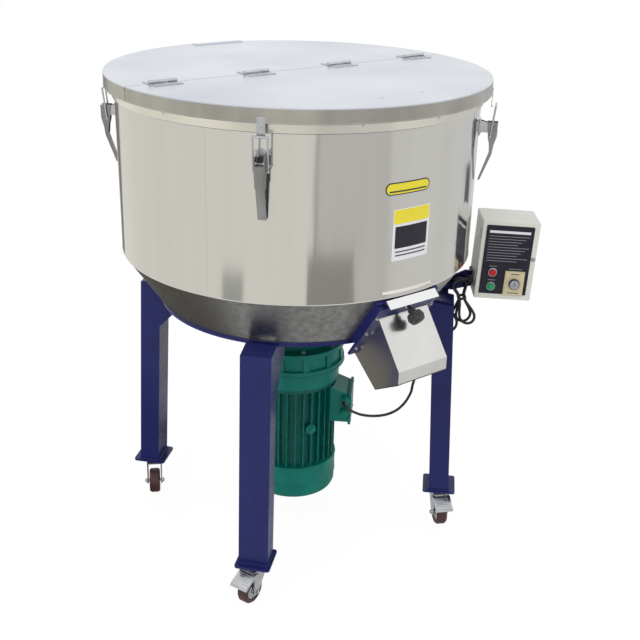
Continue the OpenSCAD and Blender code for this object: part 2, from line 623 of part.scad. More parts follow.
module supply_cable() color([0.08, 0.08, 0.08]) tube(smooth(supply_route, 4), motor_cord_d, 8);
hank_lean = 15;
hank_run = 80;
hank_at = [-101, -143, -72.7];
hank_w = 7 * motor_cord_d;
hank_t = hank_turns * (motor_cord_d + 0.4) + 3.2;
module supply_hank() color([0.08, 0.08, 0.08]) at_box() translate(hank_at) rotate([0, 0, hank_lean])
    linear_extrude(hank_t) hull() for (v = [-1, 1]) translate([0, v * hank_run / 2]) circle(d = hank_w, $fn = 32);

barrel_wall();
barrel_cone();
barrel_floor();
rim_hoop();
agitator();
lid_rear();
lid_front();
lid_hinges_rear();
lid_hinges_front();
strikes_rear();
strikes_front();
rear_lid_tab();
latch_brackets();
at_latch(0) latch_lever();  // latch_lever_front_left
at_latch(1) latch_lever();  // latch_lever_front_right
at_latch(2) latch_lever();  // latch_lever_rear_right
at_latch(3) latch_lever();  // latch_lever_rear_left
at_latch(0) latch_bail();  // latch_bail_front_left
at_latch(1) latch_bail();  // latch_bail_front_right
at_latch(2) latch_bail();  // latch_bail_rear_right
at_latch(3) latch_bail();  // latch_bail_rear_left
base_plate();
leg(leg_azimuths[0]);  // leg_front_left
leg(leg_azimuths[1]);  // leg_front_right
leg(leg_azimuths[2]);  // leg_rear_right
leg(leg_azimuths[3]);  // leg_rear_left
at_caster(0) fork_braked();  // caster_fork_front_left
at_caster(1) fork_braked();  // caster_fork_front_right
at_caster(2) fork();  // caster_fork_rear_right
at_caster(3) fork();  // caster_fork_rear_left
at_caster(0) wheel();  // caster_wheel_front_left
at_caster(1) wheel();  // caster_wheel_front_right
at_caster(2) wheel();  // caster_wheel_rear_right
at_caster(3) wheel();  // caster_wheel_rear_left
at_caster(0) brake_pedal();  // brake_pedal_front_left
at_caster(1) brake_pedal();  // brake_pedal_front_right
gearbox();
motor_body();
fan_cover();
terminal_box();
outlet_frame();
gate_plate();
discharge_chute();
star_knob();
control_box();
control_box_door();
control_panel();
timer_body();
timer_dial();
stop_button();
start_button();
control_box_arm();
motor_cable();
supply_cable();
supply_hank();
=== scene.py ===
"""Dressed scene of a vertical powder mixer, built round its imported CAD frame."""

import logging
import math
from dataclasses import dataclass
from enum import Enum

import bmesh
import bpy
from mathutils import Matrix, Vector


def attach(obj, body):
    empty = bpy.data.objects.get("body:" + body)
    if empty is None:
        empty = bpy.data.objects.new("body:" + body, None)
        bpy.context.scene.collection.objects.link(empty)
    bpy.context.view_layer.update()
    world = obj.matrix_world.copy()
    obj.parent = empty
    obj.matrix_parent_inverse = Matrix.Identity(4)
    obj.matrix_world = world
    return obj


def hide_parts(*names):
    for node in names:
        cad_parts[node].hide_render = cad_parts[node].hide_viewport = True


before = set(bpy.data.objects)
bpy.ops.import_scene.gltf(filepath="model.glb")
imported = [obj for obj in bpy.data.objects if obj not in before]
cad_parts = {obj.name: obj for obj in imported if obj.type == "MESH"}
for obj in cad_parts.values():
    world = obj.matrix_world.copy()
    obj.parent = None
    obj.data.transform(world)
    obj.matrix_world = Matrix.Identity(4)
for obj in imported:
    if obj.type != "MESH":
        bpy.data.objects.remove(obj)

LOG = logging.getLogger("mixer")
Colour = tuple[float, float, float]
Point = tuple[float, float, float]
Outline = list[tuple[float, float]]
MACHINE = "machine"
CORNERS = ("front_left", "front_right", "rear_right", "rear_left")


class Slot(Enum):
    """Material slots of the record that new pieces take their finish from."""

    POLISHED = "polished_steel"
    MATT = "matt_steel"
    ZINC = "zinc_steel"
    WHEEL = "wheel_rubber"
    NAVY = "frame_paint"
    TEAL = "motor_paint"
    GATE = "gate_steel"
    BLACK = "black_plastic"
    BOX = "box_paint"
    PANEL = "panel_print"
    CREAM = "timer_plastic"
    DIAL = "dial_plastic"
    RED = "red_plastic"
    GREEN = "green_plastic"
    CORD = "cord_rubber"


def turned(azimuth: float, radius: float = 0.0, height: float = 0.0) -> Matrix:
    """Gives the frame at an azimuth round the tub, x outwards and z up.

    Args:
        azimuth: degrees from -Y towards +X.
        radius: distance from the tub's axis in metres.
        height: height above the floor in metres.

    Returns:
        The matrix of that frame.
    """
    return Matrix.Rotation(math.radians(azimuth - 90), 4, "Z") @ Matrix.Translation((radius, 0, height))


@dataclass(frozen=True)
class Layout:
    """Sizes of the machine that the dressing shares, in metres."""

    tub_radius: float = 0.475
    seam: float = 0.870
    cone_low: float = 0.726
    cone_low_radius: float = 0.376
    lid_radius: float = 0.500
    lid_top: float = 1.338
    leg_radius: float = 0.448
    leg_azimuths: tuple[float, ...] = (-48.5, 46.0, 131.5, -138.5)
    latch_azimuths: tuple[float, ...] = (-45.5, 42.5, 132.5, -128.5)
    caster_azimuths: tuple[float, ...] = (-70, -28, -30, -30)
    latch_radius: float = 0.513
    latch_height: float = 1.217
    outlet_height: float = 0.755
    box_face: Point = (0.428, -0.397, 0.841)
    box_facing: float = -37.9
    box_roll: float = 2.2

    @property
    def cone_tilt(self) -> float:
        """Angle between the cone's side and the vertical, in radians."""
        return math.atan((self.tub_radius - self.cone_low_radius) / (self.seam - self.cone_low))

    @property
    def outlet(self) -> Matrix:
        """Frame on the cone at the outlet: x across, y up the slope, z outwards."""
        out = self.cone_low_radius + (self.outlet_height - self.cone_low) * math.tan(self.cone_tilt)
        tilt = Matrix.Rotation(math.pi / 2 + self.cone_tilt, 4, "X")
        return Matrix.Translation((0, -out, self.outlet_height)) @ tilt

    @property
    def box(self) -> Matrix:
        """Frame on the control box's face: x to the right, y up, z out of it."""
        turn = Matrix.Rotation(math.radians(self.box_facing), 4, "Z") @ Matrix.Rotation(math.pi / 2, 4, "X")
        return Matrix.Translation(self.box_face) @ turn @ Matrix.Rotation(math.radians(-self.box_roll), 4, "Z")

    def latch(self, index: int) -> Matrix:
        """Frame on a latch's lever pin."""
        return turned(self.latch_azimuths[index], self.latch_radius, self.latch_height)

    def caster(self, index: int) -> Matrix:
        """Frame on the floor under a caster's swivel, x towards its wheel."""
        turn = Matrix.Rotation(math.radians(self.caster_azimuths[index] - self.leg_azimuths[index]), 4, "Z")
        return turned(self.leg_azimuths[index], self.leg_radius) @ turn


LAYOUT = Layout()


class NodeGroups:
    """Shader node groups for the effects that several finishes share, each built once."""

    _built: dict[str, bpy.types.NodeTree] = {}

    @classmethod
    def _new(cls, name: str, inputs: dict[str, float], outputs: tuple[str, ...]) -> bpy.types.NodeTree:
        """Starts a group with named float sockets.

        Args:
            name: the group's name.
            inputs: each input's name and default value.
            outputs: the names of the outputs.

        Returns:
            The empty group.
        """
        tree = bpy.data.node_groups.new(name, "ShaderNodeTree")
        for label, value in inputs.items():
            socket = tree.interface.new_socket(name=label, in_out="INPUT", socket_type="NodeSocketFloat")
            socket.default_value = value
        for label in outputs:
            tree.interface.new_socket(name=label, in_out="OUTPUT", socket_type="NodeSocketFloat")
        tree.nodes.new("NodeGroupInput").name = "in"
        tree.nodes.new("NodeGroupOutput").name = "out"
        cls._built[name] = tree
        return tree

    @classmethod
    def mottle(cls) -> bpy.types.NodeTree:
        """Cloudy or streaky variation: noise in object space, stretched along each axis."""
        if "mottle" in cls._built:
            return cls._built["mottle"]
        tree = cls._new(
            "mottle",
            {"Scale": 10.0, "Stretch X": 1.0, "Stretch Y": 1.0, "Stretch Z": 1.0, "Detail": 4.0, "Contrast": 1.0},
            ("Value",),
        )
        node, link = tree.nodes.new, tree.links.new
        group_in, group_out = tree.nodes["in"], tree.nodes["out"]
        place = node("ShaderNodeTexCoord")
        stretch = node("ShaderNodeCombineXYZ")
        for axis in "XYZ":
            link(group_in.outputs[f"Stretch {axis}"], stretch.inputs[axis])
        multiply = node("ShaderNodeVectorMath")
        multiply.operation = "MULTIPLY"
        link(place.outputs["Object"], multiply.inputs[0])
        link(stretch.outputs[0], multiply.inputs[1])
        noise = node("ShaderNodeTexNoise")
        link(multiply.outputs[0], noise.inputs["Vector"])
        link(group_in.outputs["Scale"], noise.inputs["Scale"])
        link(group_in.outputs["Detail"], noise.inputs["Detail"])
        centred = node("ShaderNodeMath")
        centred.operation = "SUBTRACT"
        centred.inputs[1].default_value = 0.5
        link(noise.outputs["Fac"], centred.inputs[0])
        spread = node("ShaderNodeMath")
        spread.operation = "MULTIPLY_ADD"
        spread.use_clamp = True
        spread.inputs[2].default_value = 0.5
        link(centred.outputs[0], spread.inputs[0])
        link(group_in.outputs["Contrast"], spread.inputs[1])
        link(spread.outputs[0], group_out.inputs["Value"])
        return tree

    @classmethod
    def edge_wear_and_highlight(cls) -> bpy.types.NodeTree:
        """Wear along edges, and on the fins a painted highlight along them: where a rounded normal leaves the true
        one, broken up by noise.
        """
        if "edge wear" in cls._built:
            return cls._built["edge wear"]
        tree = cls._new("edge wear", {"Radius": 0.002, "Amount": 1.0, "Break Up": 60.0}, ("Mask",))
        node, link = tree.nodes.new, tree.links.new
        group_in, group_out = tree.nodes["in"], tree.nodes["out"]
        bevel = node("ShaderNodeBevel")
        bevel.samples = 4
        link(group_in.outputs["Radius"], bevel.inputs["Radius"])
        true_normal = node("ShaderNodeNewGeometry")
        dot = node("ShaderNodeVectorMath")
        dot.operation = "DOT_PRODUCT"
        link(bevel.outputs[0], dot.inputs[0])
        link(true_normal.outputs["Normal"], dot.inputs[1])
        turned_away = node("ShaderNodeMapRange")
        turned_away.inputs["From Min"].default_value = 0.99
        turned_away.inputs["From Max"].default_value = 0.8
        link(dot.outputs["Value"], turned_away.inputs["Value"])
        place = node("ShaderNodeTexCoord")
        noise = node("ShaderNodeTexNoise")
        link(place.outputs["Object"], noise.inputs["Vector"])
        link(group_in.outputs["Break Up"], noise.inputs["Scale"])
        broken = node("ShaderNodeMapRange")
        broken.inputs["From Min"].default_value = 0.42
        broken.inputs["From Max"].default_value = 0.62
        link(noise.outputs["Fac"], broken.inputs["Value"])
        both = node("ShaderNodeMath")
        both.operation = "MULTIPLY"
        link(turned_away.outputs[0], both.inputs[0])
        link(broken.outputs[0], both.inputs[1])
        scaled = node("ShaderNodeMath")
        scaled.operation = "MULTIPLY"
        scaled.use_clamp = True
        link(both.outputs[0], scaled.inputs[0])
        link(group_in.outputs["Amount"], scaled.inputs[1])
        link(scaled.outputs[0], group_out.inputs["Mask"])
        return tree

    @classmethod
    def dust(cls) -> bpy.types.NodeTree:
        """Settled dust: upward faces, patchy with noise."""
        if "dust" in cls._built:
            return cls._built["dust"]
        tree = cls._new("dust", {"Amount": 0.3, "Patch Scale": 12.0}, ("Mask",))
        node, link = tree.nodes.new, tree.links.new
        group_in, group_out = tree.nodes["in"], tree.nodes["out"]
        geometry = node("ShaderNodeNewGeometry")
        split = node("ShaderNodeSeparateXYZ")
        link(geometry.outputs["Normal"], split.inputs[0])
        up = node("ShaderNodeMapRange")
        up.inputs["From Min"].default_value = 0.3
        up.inputs["From Max"].default_value = 1.0
        link(split.outputs["Z"], up.inputs["Value"])
        place = node("ShaderNodeTexCoord")
        noise = node("ShaderNodeTexNoise")
        noise.inputs["Detail"].default_value = 6.0
        link(place.outputs["Object"], noise.inputs["Vector"])
        link(group_in.outputs["Patch Scale"], noise.inputs["Scale"])
        patch = node("ShaderNodeMath")
        patch.operation = "MULTIPLY"
        link(up.outputs[0], patch.inputs[0])
        link(noise.outputs["Fac"], patch.inputs[1])
        scaled = node("ShaderNodeMath")
        scaled.operation = "MULTIPLY"
        scaled.use_clamp = True
        link(patch.outputs[0], scaled.inputs[0])
        link(group_in.outputs["Amount"], scaled.inputs[1])
        link(scaled.outputs[0], group_out.inputs["Mask"])
        return tree

    @classmethod
    def specks(cls) -> bpy.types.NodeTree:
        """Scattered small specks: the centres of a few Voronoi cells."""
        if "specks" in cls._built:
            return cls._built["specks"]
        tree = cls._new("specks", {"Scale": 150.0, "Size": 0.2, "Share": 0.2}, ("Mask",))
        node, link = tree.nodes.new, tree.links.new
        group_in, group_out = tree.nodes["in"], tree.nodes["out"]
        place = node("ShaderNodeTexCoord")
        cells = node("ShaderNodeTexVoronoi")
        link(place.outputs["Object"], cells.inputs["Vector"])
        link(group_in.outputs["Scale"], cells.inputs["Scale"])
        near = node("ShaderNodeMath")
        near.operation = "LESS_THAN"
        link(cells.outputs["Distance"], near.inputs[0])
        link(group_in.outputs["Size"], near.inputs[1])
        chosen = node("ShaderNodeMath")
        chosen.operation = "LESS_THAN"
        link(cells.outputs["Color"], chosen.inputs[0])
        link(group_in.outputs["Share"], chosen.inputs[1])
        both = node("ShaderNodeMath")
        both.operation = "MULTIPLY"
        link(near.outputs[0], both.inputs[0])
        link(chosen.outputs[0], both.inputs[1])
        link(both.outputs[0], group_out.inputs["Mask"])
        return tree


@dataclass(frozen=True)
class Mottle:
    """How the cloudy or streaky variation of a finish runs."""

    scale: float = 8.0
    stretch: Point = (1.0, 1.0, 1.0)
    detail: float = 4.0
    contrast: float = 1.6


@dataclass(frozen=True)
class Finish:
    """One finish: its colours, its gloss and what breaks them up."""

    name: str
    slot: Slot
    colour: Colour
    shade: Colour
    roughness: float
    rougher: float
    metallic: float = 0.0
    coat: float = 0.0
    specular: float = 0.5
    mottle: Mottle = Mottle()
    grain: Mottle = Mottle(scale=400.0, detail=2.0, contrast=1.0)
    grain_height: float = 0.00002
    # Edge mask amount, colour and width: real wear on most finishes, and a painted highlight along the fin edges on
    # the finned motor body.
    wear_and_highlight: float = 0.0
    wear_and_highlight_colour: Colour = (0.5, 0.5, 0.5)
    wear_and_highlight_radius: float = 0.0015
    dust: float = 0.0
    dust_colour: Colour = (0.5, 0.49, 0.46)
    specks: float = 0.0
    speck_scale: float = 160.0
    speck_size: float = 0.2
    speck_colour: Colour = (0.08, 0.08, 0.08)

    def material(self) -> bpy.types.Material:
        """Gives this finish's material, made at its first use.

        Returns:
            The material.
        """
        made = bpy.data.materials.get(self.name)
        if made is None:
            made = bpy.data.materials.new(self.name)
            made.use_nodes = True
            made.diffuse_color = (*self.colour, 1.0)
            self._wire(made.node_tree)
        return made

    @staticmethod
    def _group(tree: bpy.types.NodeTree, group: bpy.types.NodeTree, **values: float) -> bpy.types.Node:
        """Places a shared group in a material.

        Args:
            tree: the material's nodes.
            group: the shared group.
            **values: values of the group's inputs, with underscores for spaces.

        Returns:
            The group's node.
        """
        node = tree.nodes.new("ShaderNodeGroup")
        node.node_tree = group
        for label, value in values.items():
            node.inputs[label.replace("_", " ")].default_value = value
        return node

    @staticmethod
    def _mix(tree: bpy.types.NodeTree, factor: bpy.types.NodeSocket, first, second) -> bpy.types.NodeSocket:
        """Mixes two colours, each a plain colour or a socket.

        Args:
            tree: the material's nodes.
            factor: the mask.
            first: the colour where the mask is 0.
            second: the colour where the mask is 1.

        Returns:
            The mixed colour's socket.
        """
        mix = tree.nodes.new("ShaderNodeMix")
        mix.data_type = "RGBA"
        tree.links.new(factor, mix.inputs["Factor"])
        for socket, colour in ((mix.inputs[6], first), (mix.inputs[7], second)):
            if isinstance(colour, bpy.types.NodeSocket):
                tree.links.new(colour, socket)
            else:
                socket.default_value = (*colour, 1.0)
        return mix.outputs[2]

    def _mottle_node(self, tree: bpy.types.NodeTree, mottle: Mottle) -> bpy.types.NodeSocket:
        """Places the mottle group with one mottle's values and gives its output."""
        node = self._group(tree, NodeGroups.mottle(), Scale=mottle.scale, Stretch_X=mottle.stretch[0],
                           Stretch_Y=mottle.stretch[1], Stretch_Z=mottle.stretch[2], Detail=mottle.detail,
                           Contrast=mottle.contrast)
        return node.outputs["Value"]

    def _wire(self, tree: bpy.types.NodeTree) -> None:
        """Links the finish's nodes to the Principled shader.

        Args:
            tree: the material's nodes.
        """
        shader = tree.nodes["Principled BSDF"]
        cloud = self._mottle_node(tree, self.mottle)
        colour = self._mix(tree, cloud, self.colour, self.shade)
        if self.specks > 0:
            specks = self._group(tree, NodeGroups.specks(), Scale=self.speck_scale, Size=self.speck_size,
                                 Share=self.specks)
            colour = self._mix(tree, specks.outputs["Mask"], colour, self.speck_colour)
        # Edge mask in a lighter colour: real wear, and on the fins a painted highlight.
        if self.wear_and_highlight > 0:
            wear_and_highlight = self._group(tree, NodeGroups.edge_wear_and_highlight(), Radius=self.wear_and_highlight_radius, Amount=self.wear_and_highlight)
            colour = self._mix(tree, wear_and_highlight.outputs["Mask"], colour, self.wear_and_highlight_colour)
        if self.dust > 0:
            dust = self._group(tree, NodeGroups.dust(), Amount=self.dust)
            colour = self._mix(tree, dust.outputs["Mask"], colour, self.dust_colour)
        tree.links.new(colour, shader.inputs["Base Color"])
        gloss = tree.nodes.new("ShaderNodeMapRange")
        gloss.inputs["To Min"].default_value = self.roughness
        gloss.inputs["To Max"].default_value = self.rougher
        tree.links.new(cloud, gloss.inputs["Value"])
        tree.links.new(gloss.outputs[0], shader.inputs["Roughness"])
        bump = tree.nodes.new("ShaderNodeBump")
        bump.inputs["Distance"].default_value = self.grain_height
        bump.inputs["Strength"].default_value = 1.0
        tree.links.new(self._mottle_node(tree, self.grain), bump.inputs["Height"])
        tree.links.new(bump.outputs[0], shader.inputs["Normal"])
        shader.inputs["Metallic"].default_value = self.metallic
        shader.inputs["Coat Weight"].default_value = self.coat
        shader.inputs["Coat Roughness"].default_value = 0.06
        shader.inputs["Specular IOR Level"].default_value = self.specular


WALL_STREAKS = Mottle(scale=3.0, stretch=(6.0, 6.0, 0.25), detail=3.0, contrast=1.4)
WALL = Finish("polished stainless wall", Slot.POLISHED, (0.70, 0.695, 0.68), (0.64, 0.635, 0.62), 0.09, 0.14,
              metallic=1.0, mottle=WALL_STREAKS,
              grain=Mottle(scale=5.0, stretch=(3.0, 3.0, 0.3), detail=2.0), grain_height=0.0008)
LID = Finish("satin stainless lid", Slot.POLISHED, (0.68, 0.71, 0.765), (0.58, 0.615, 0.68), 0.2, 0.32,
             metallic=1.0, mottle=Mottle(scale=2.2, contrast=3.0), grain_height=0.00002, dust=0.06)
# A darker, warmer copy of the lid's steel for its rolled lower edge and side band: a painted reflection, the lid's
# side darker and warmer than its top.
LID_SIDE_PAINTED_REFLECTION = Finish("stainless lid side with painted reflection", Slot.POLISHED, (0.5, 0.485, 0.45), (0.33, 0.32, 0.3), 0.2, 0.34,
                  metallic=1.0, mottle=Mottle(scale=7.0, stretch=(1.0, 1.0, 0.4), contrast=3.0),
                  grain=Mottle(scale=60.0, stretch=(1.0, 1.0, 6.0)), grain_height=0.00005)
# A lighter, warmer copy of the wall's steel: a painted highlight on the rim hoop, the seam bead and the drip strip.
RIM_PAINTED_HIGHLIGHT = Finish("rolled stainless rim with painted highlight", Slot.POLISHED, (0.86, 0.84, 0.78), (0.66, 0.64, 0.59), 0.16, 0.26,
             metallic=1.0, mottle=Mottle(scale=5.0, stretch=(1.0, 1.0, 0.3), contrast=2.5))
# Near-black steel for thin lines of painted shade: the shadow gaps at the rim hoop's top and foot, and along the
# chute's hem.
SHADE_LINE = Finish("painted shade line", Slot.MATT, (0.09, 0.088, 0.1), (0.05, 0.05, 0.06), 0.4, 0.5, metallic=0.6,
                mottle=Mottle(scale=12.0))
CONE = Finish("matt stainless cone", Slot.MATT, (0.3, 0.3, 0.285), (0.2, 0.2, 0.195), 0.3, 0.42, metallic=1.0,
              mottle=Mottle(scale=60.0, detail=8.0, contrast=3.0),
              grain=Mottle(scale=240.0, detail=6.0, contrast=1.5), grain_height=0.0002)
CHUTE = Finish("polished stainless chute", Slot.POLISHED, (0.74, 0.735, 0.715), (0.66, 0.655, 0.64), 0.16, 0.26,
               metallic=1.0, mottle=Mottle(scale=9.0, contrast=1.6), specks=0.05, speck_scale=130.0,
               speck_colour=(0.12, 0.11, 0.1), wear_and_highlight=0.4, wear_and_highlight_colour=(0.9, 0.9, 0.88))
GATE = Finish("bright gate plate", Slot.GATE, (0.9, 0.9, 0.9), (0.82, 0.82, 0.83), 0.2, 0.32, metallic=1.0,
              mottle=Mottle(scale=12.0, stretch=(0.3, 3.0, 3.0)))
ZINC = Finish("bright zinc plate", Slot.ZINC, (0.62, 0.63, 0.655), (0.47, 0.48, 0.505), 0.2, 0.32, metallic=1.0,
              mottle=Mottle(scale=22.0, contrast=2.0), grain_height=0.00001)
LEVER = Finish("dull lever steel", Slot.ZINC, (0.34, 0.34, 0.35), (0.22, 0.22, 0.23), 0.24, 0.36, metallic=1.0,
               mottle=Mottle(scale=16.0, stretch=(1.0, 1.0, 0.5), contrast=2.5), grain_height=0.00001)
NAVY = Finish("navy gloss paint", Slot.NAVY, (0.015, 0.02, 0.125), (0.011, 0.014, 0.1), 0.22, 0.34, specular=0.24,
              mottle=Mottle(scale=14.0), grain=Mottle(scale=90.0, detail=3.0), grain_height=0.0003,
              wear_and_highlight=0.4, wear_and_highlight_colour=(0.05, 0.06, 0.22), dust=0.03, dust_colour=(0.16, 0.17, 0.28))
TEAL = Finish("teal machine paint", Slot.TEAL, (0.003, 0.2, 0.155), (0.002, 0.15, 0.118), 0.3, 0.45, specular=0.2,
              mottle=Mottle(scale=18.0, contrast=2.0), grain=Mottle(scale=260.0, detail=4.0),
              grain_height=0.0004, wear_and_highlight=0.5, wear_and_highlight_colour=(0.006, 0.26, 0.2), dust=0.06,
              dust_colour=(0.01, 0.2, 0.16))
# A darker copy of the teal paint for the finned motor body: painted shade between the fins. Its wide, full-strength
# edge mask in lighter teal is a painted highlight along the fin edges.
FINS_PAINTED_SHADE = Finish("teal paint on the fins with painted shade and highlight", Slot.TEAL, (0.002, 0.13, 0.105), (0.001, 0.09, 0.075), 0.3, 0.45, specular=0.2,
              mottle=Mottle(scale=14.0, contrast=2.0), grain=Mottle(scale=260.0, detail=4.0),
              grain_height=0.0004, wear_and_highlight=1.0, wear_and_highlight_colour=(0.004, 0.23, 0.18), wear_and_highlight_radius=0.004)
BOX_PAINT = Finish("off-white powder coat", Slot.BOX, (0.7, 0.71, 0.65), (0.65, 0.66, 0.6), 0.38, 0.46,
                   mottle=Mottle(scale=7.0), grain=Mottle(scale=900.0, detail=2.0), grain_height=0.00012,
                   wear_and_highlight=0.3, wear_and_highlight_colour=(0.8, 0.8, 0.76), dust=0.08)
PANEL = Finish("dark panel film", Slot.PANEL, (0.012, 0.012, 0.022), (0.018, 0.018, 0.03), 0.3, 0.38, specular=0.3,
               mottle=Mottle(scale=30.0), grain_height=0.00002)
CREAM = Finish("cream timer plastic", Slot.CREAM, (0.63, 0.56, 0.36), (0.57, 0.5, 0.31), 0.35, 0.45,
               mottle=Mottle(scale=40.0), grain_height=0.00003, wear_and_highlight=0.3, wear_and_highlight_colour=(0.75, 0.7, 0.5))
DIAL = Finish("dark dial plastic", Slot.DIAL, (0.045, 0.055, 0.08), (0.03, 0.035, 0.055), 0.25, 0.35, coat=0.2,
              mottle=Mottle(scale=60.0), grain_height=0.00002)
DIAL_CAP = Finish("silver dial cap", Slot.DIAL, (0.42, 0.45, 0.5), (0.34, 0.37, 0.42), 0.3, 0.4, metallic=0.7,
                  mottle=Mottle(scale=80.0), grain_height=0.00001)
RED = Finish("red button plastic", Slot.RED, (0.56, 0.006, 0.01), (0.46, 0.004, 0.008), 0.25, 0.35, specular=0.3,
             mottle=Mottle(scale=60.0), grain_height=0.00001)
GREEN = Finish("green button plastic", Slot.GREEN, (0.0, 0.36, 0.1), (0.0, 0.29, 0.08), 0.25, 0.35, specular=0.3,
               mottle=Mottle(scale=60.0), grain_height=0.00001)
BLACK = Finish("black moulded plastic", Slot.BLACK, (0.028, 0.029, 0.033), (0.018, 0.018, 0.021), 0.35, 0.5,
               mottle=Mottle(scale=40.0), grain=Mottle(scale=700.0), grain_height=0.00005,
               wear_and_highlight=0.4, wear_and_highlight_colour=(0.1, 0.1, 0.11))
CORD = Finish("black rubber sheath", Slot.CORD, (0.016, 0.016, 0.017), (0.026, 0.025, 0.025), 0.45, 0.6,
              mottle=Mottle(scale=25.0), grain=Mottle(scale=600.0), grain_height=0.00005)
WHEEL = Finish("maroon polyurethane", Slot.WHEEL, (0.075, 0.022, 0.024), (0.045, 0.014, 0.016), 0.35, 0.55,
               mottle=Mottle(scale=30.0, contrast=2.0), grain=Mottle(scale=300.0), grain_height=0.0001,
               dust=0.3, dust_colour=(0.2, 0.17, 0.15))
YELLOW = Finish("yellow label film", Slot.PANEL, (0.82, 0.7, 0.02), (0.76, 0.64, 0.015), 0.3, 0.4, coat=0.1,
                mottle=Mottle(scale=20.0), grain_height=0.00001)
WHITE = Finish("white label film", Slot.BOX, (0.78, 0.79, 0.82), (0.72, 0.73, 0.76), 0.3, 0.4, coat=0.1,
               mottle=Mottle(scale=20.0), grain_height=0.00001)
INK = Finish("dark label ink", Slot.PANEL, (0.025, 0.026, 0.035), (0.035, 0.036, 0.048), 0.32, 0.42,
             mottle=Mottle(scale=30.0), grain_height=0.00001)
PRINT = Finish("pale panel print", Slot.BOX, (0.3, 0.3, 0.34), (0.24, 0.24, 0.28), 0.35, 0.45,
               mottle=Mottle(scale=120.0, contrast=3.0), grain_height=0.00001)

NODE_FINISHES: dict[str, Finish] = {
    "barrel_wall": WALL, "rim_hoop": RIM_PAINTED_HIGHLIGHT, "lid_rear": LID, "lid_front": LID, "rear_lid_tab": LID,
    "strikes_rear": ZINC, "strikes_front": ZINC, "barrel_cone": CONE, "barrel_floor": CONE, "agitator": CONE,
    "lid_hinges_rear": ZINC, "lid_hinges_front": ZINC, "latch_brackets": ZINC, "base_plate": NAVY,
    "outlet_frame": NAVY, "control_box_arm": NAVY, "gearbox": TEAL, "motor_body": FINS_PAINTED_SHADE, "fan_cover": TEAL,
    "terminal_box": TEAL, "gate_plate": GATE, "discharge_chute": CHUTE, "star_knob": BLACK,
    "control_box": BOX_PAINT, "control_box_door": BOX_PAINT, "control_panel": PANEL, "timer_body": CREAM,
    "timer_dial": DIAL, "stop_button": RED, "start_button": GREEN, "motor_cable": CORD, "supply_cable": CORD,
    "supply_hank": CORD,
}
CORNER_FINISHES: dict[str, Finish] = {
    "leg": NAVY, "latch_lever": LEVER, "latch_bail": ZINC, "caster_fork": ZINC, "caster_wheel": WHEEL,
    "brake_pedal": ZINC,
}


def dress(piece: bpy.types.Object, finish: Finish) -> None:
    """Gives a piece one finish all over.

    Args:
        piece: the object.
        finish: what covers it.
    """
    piece.data.materials.clear()
    piece.data.materials.append(finish.material())


def place(piece: bpy.types.Object, body: str, finish: Finish) -> bpy.types.Object:
    """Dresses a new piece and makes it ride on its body.

    Args:
        piece: the object, already in place.
        body: the CAD body that carries it.
        finish: what covers it.

    Returns:
        The piece.
    """
    dress(piece, finish)
    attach(piece, body)
    LOG.info("%s rides on %s", piece.name, body)
    return piece


def dress_frame() -> None:
    """Gives every carried-over CAD node its finish."""
    for name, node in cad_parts.items():
        finish = NODE_FINISHES.get(name)
        for stem, corner_finish in CORNER_FINISHES.items():
            if name.startswith(stem + "_"):
                finish = finish or corner_finish
        dress(node, finish)
        LOG.info("%s is dressed in %s", name, finish.name)


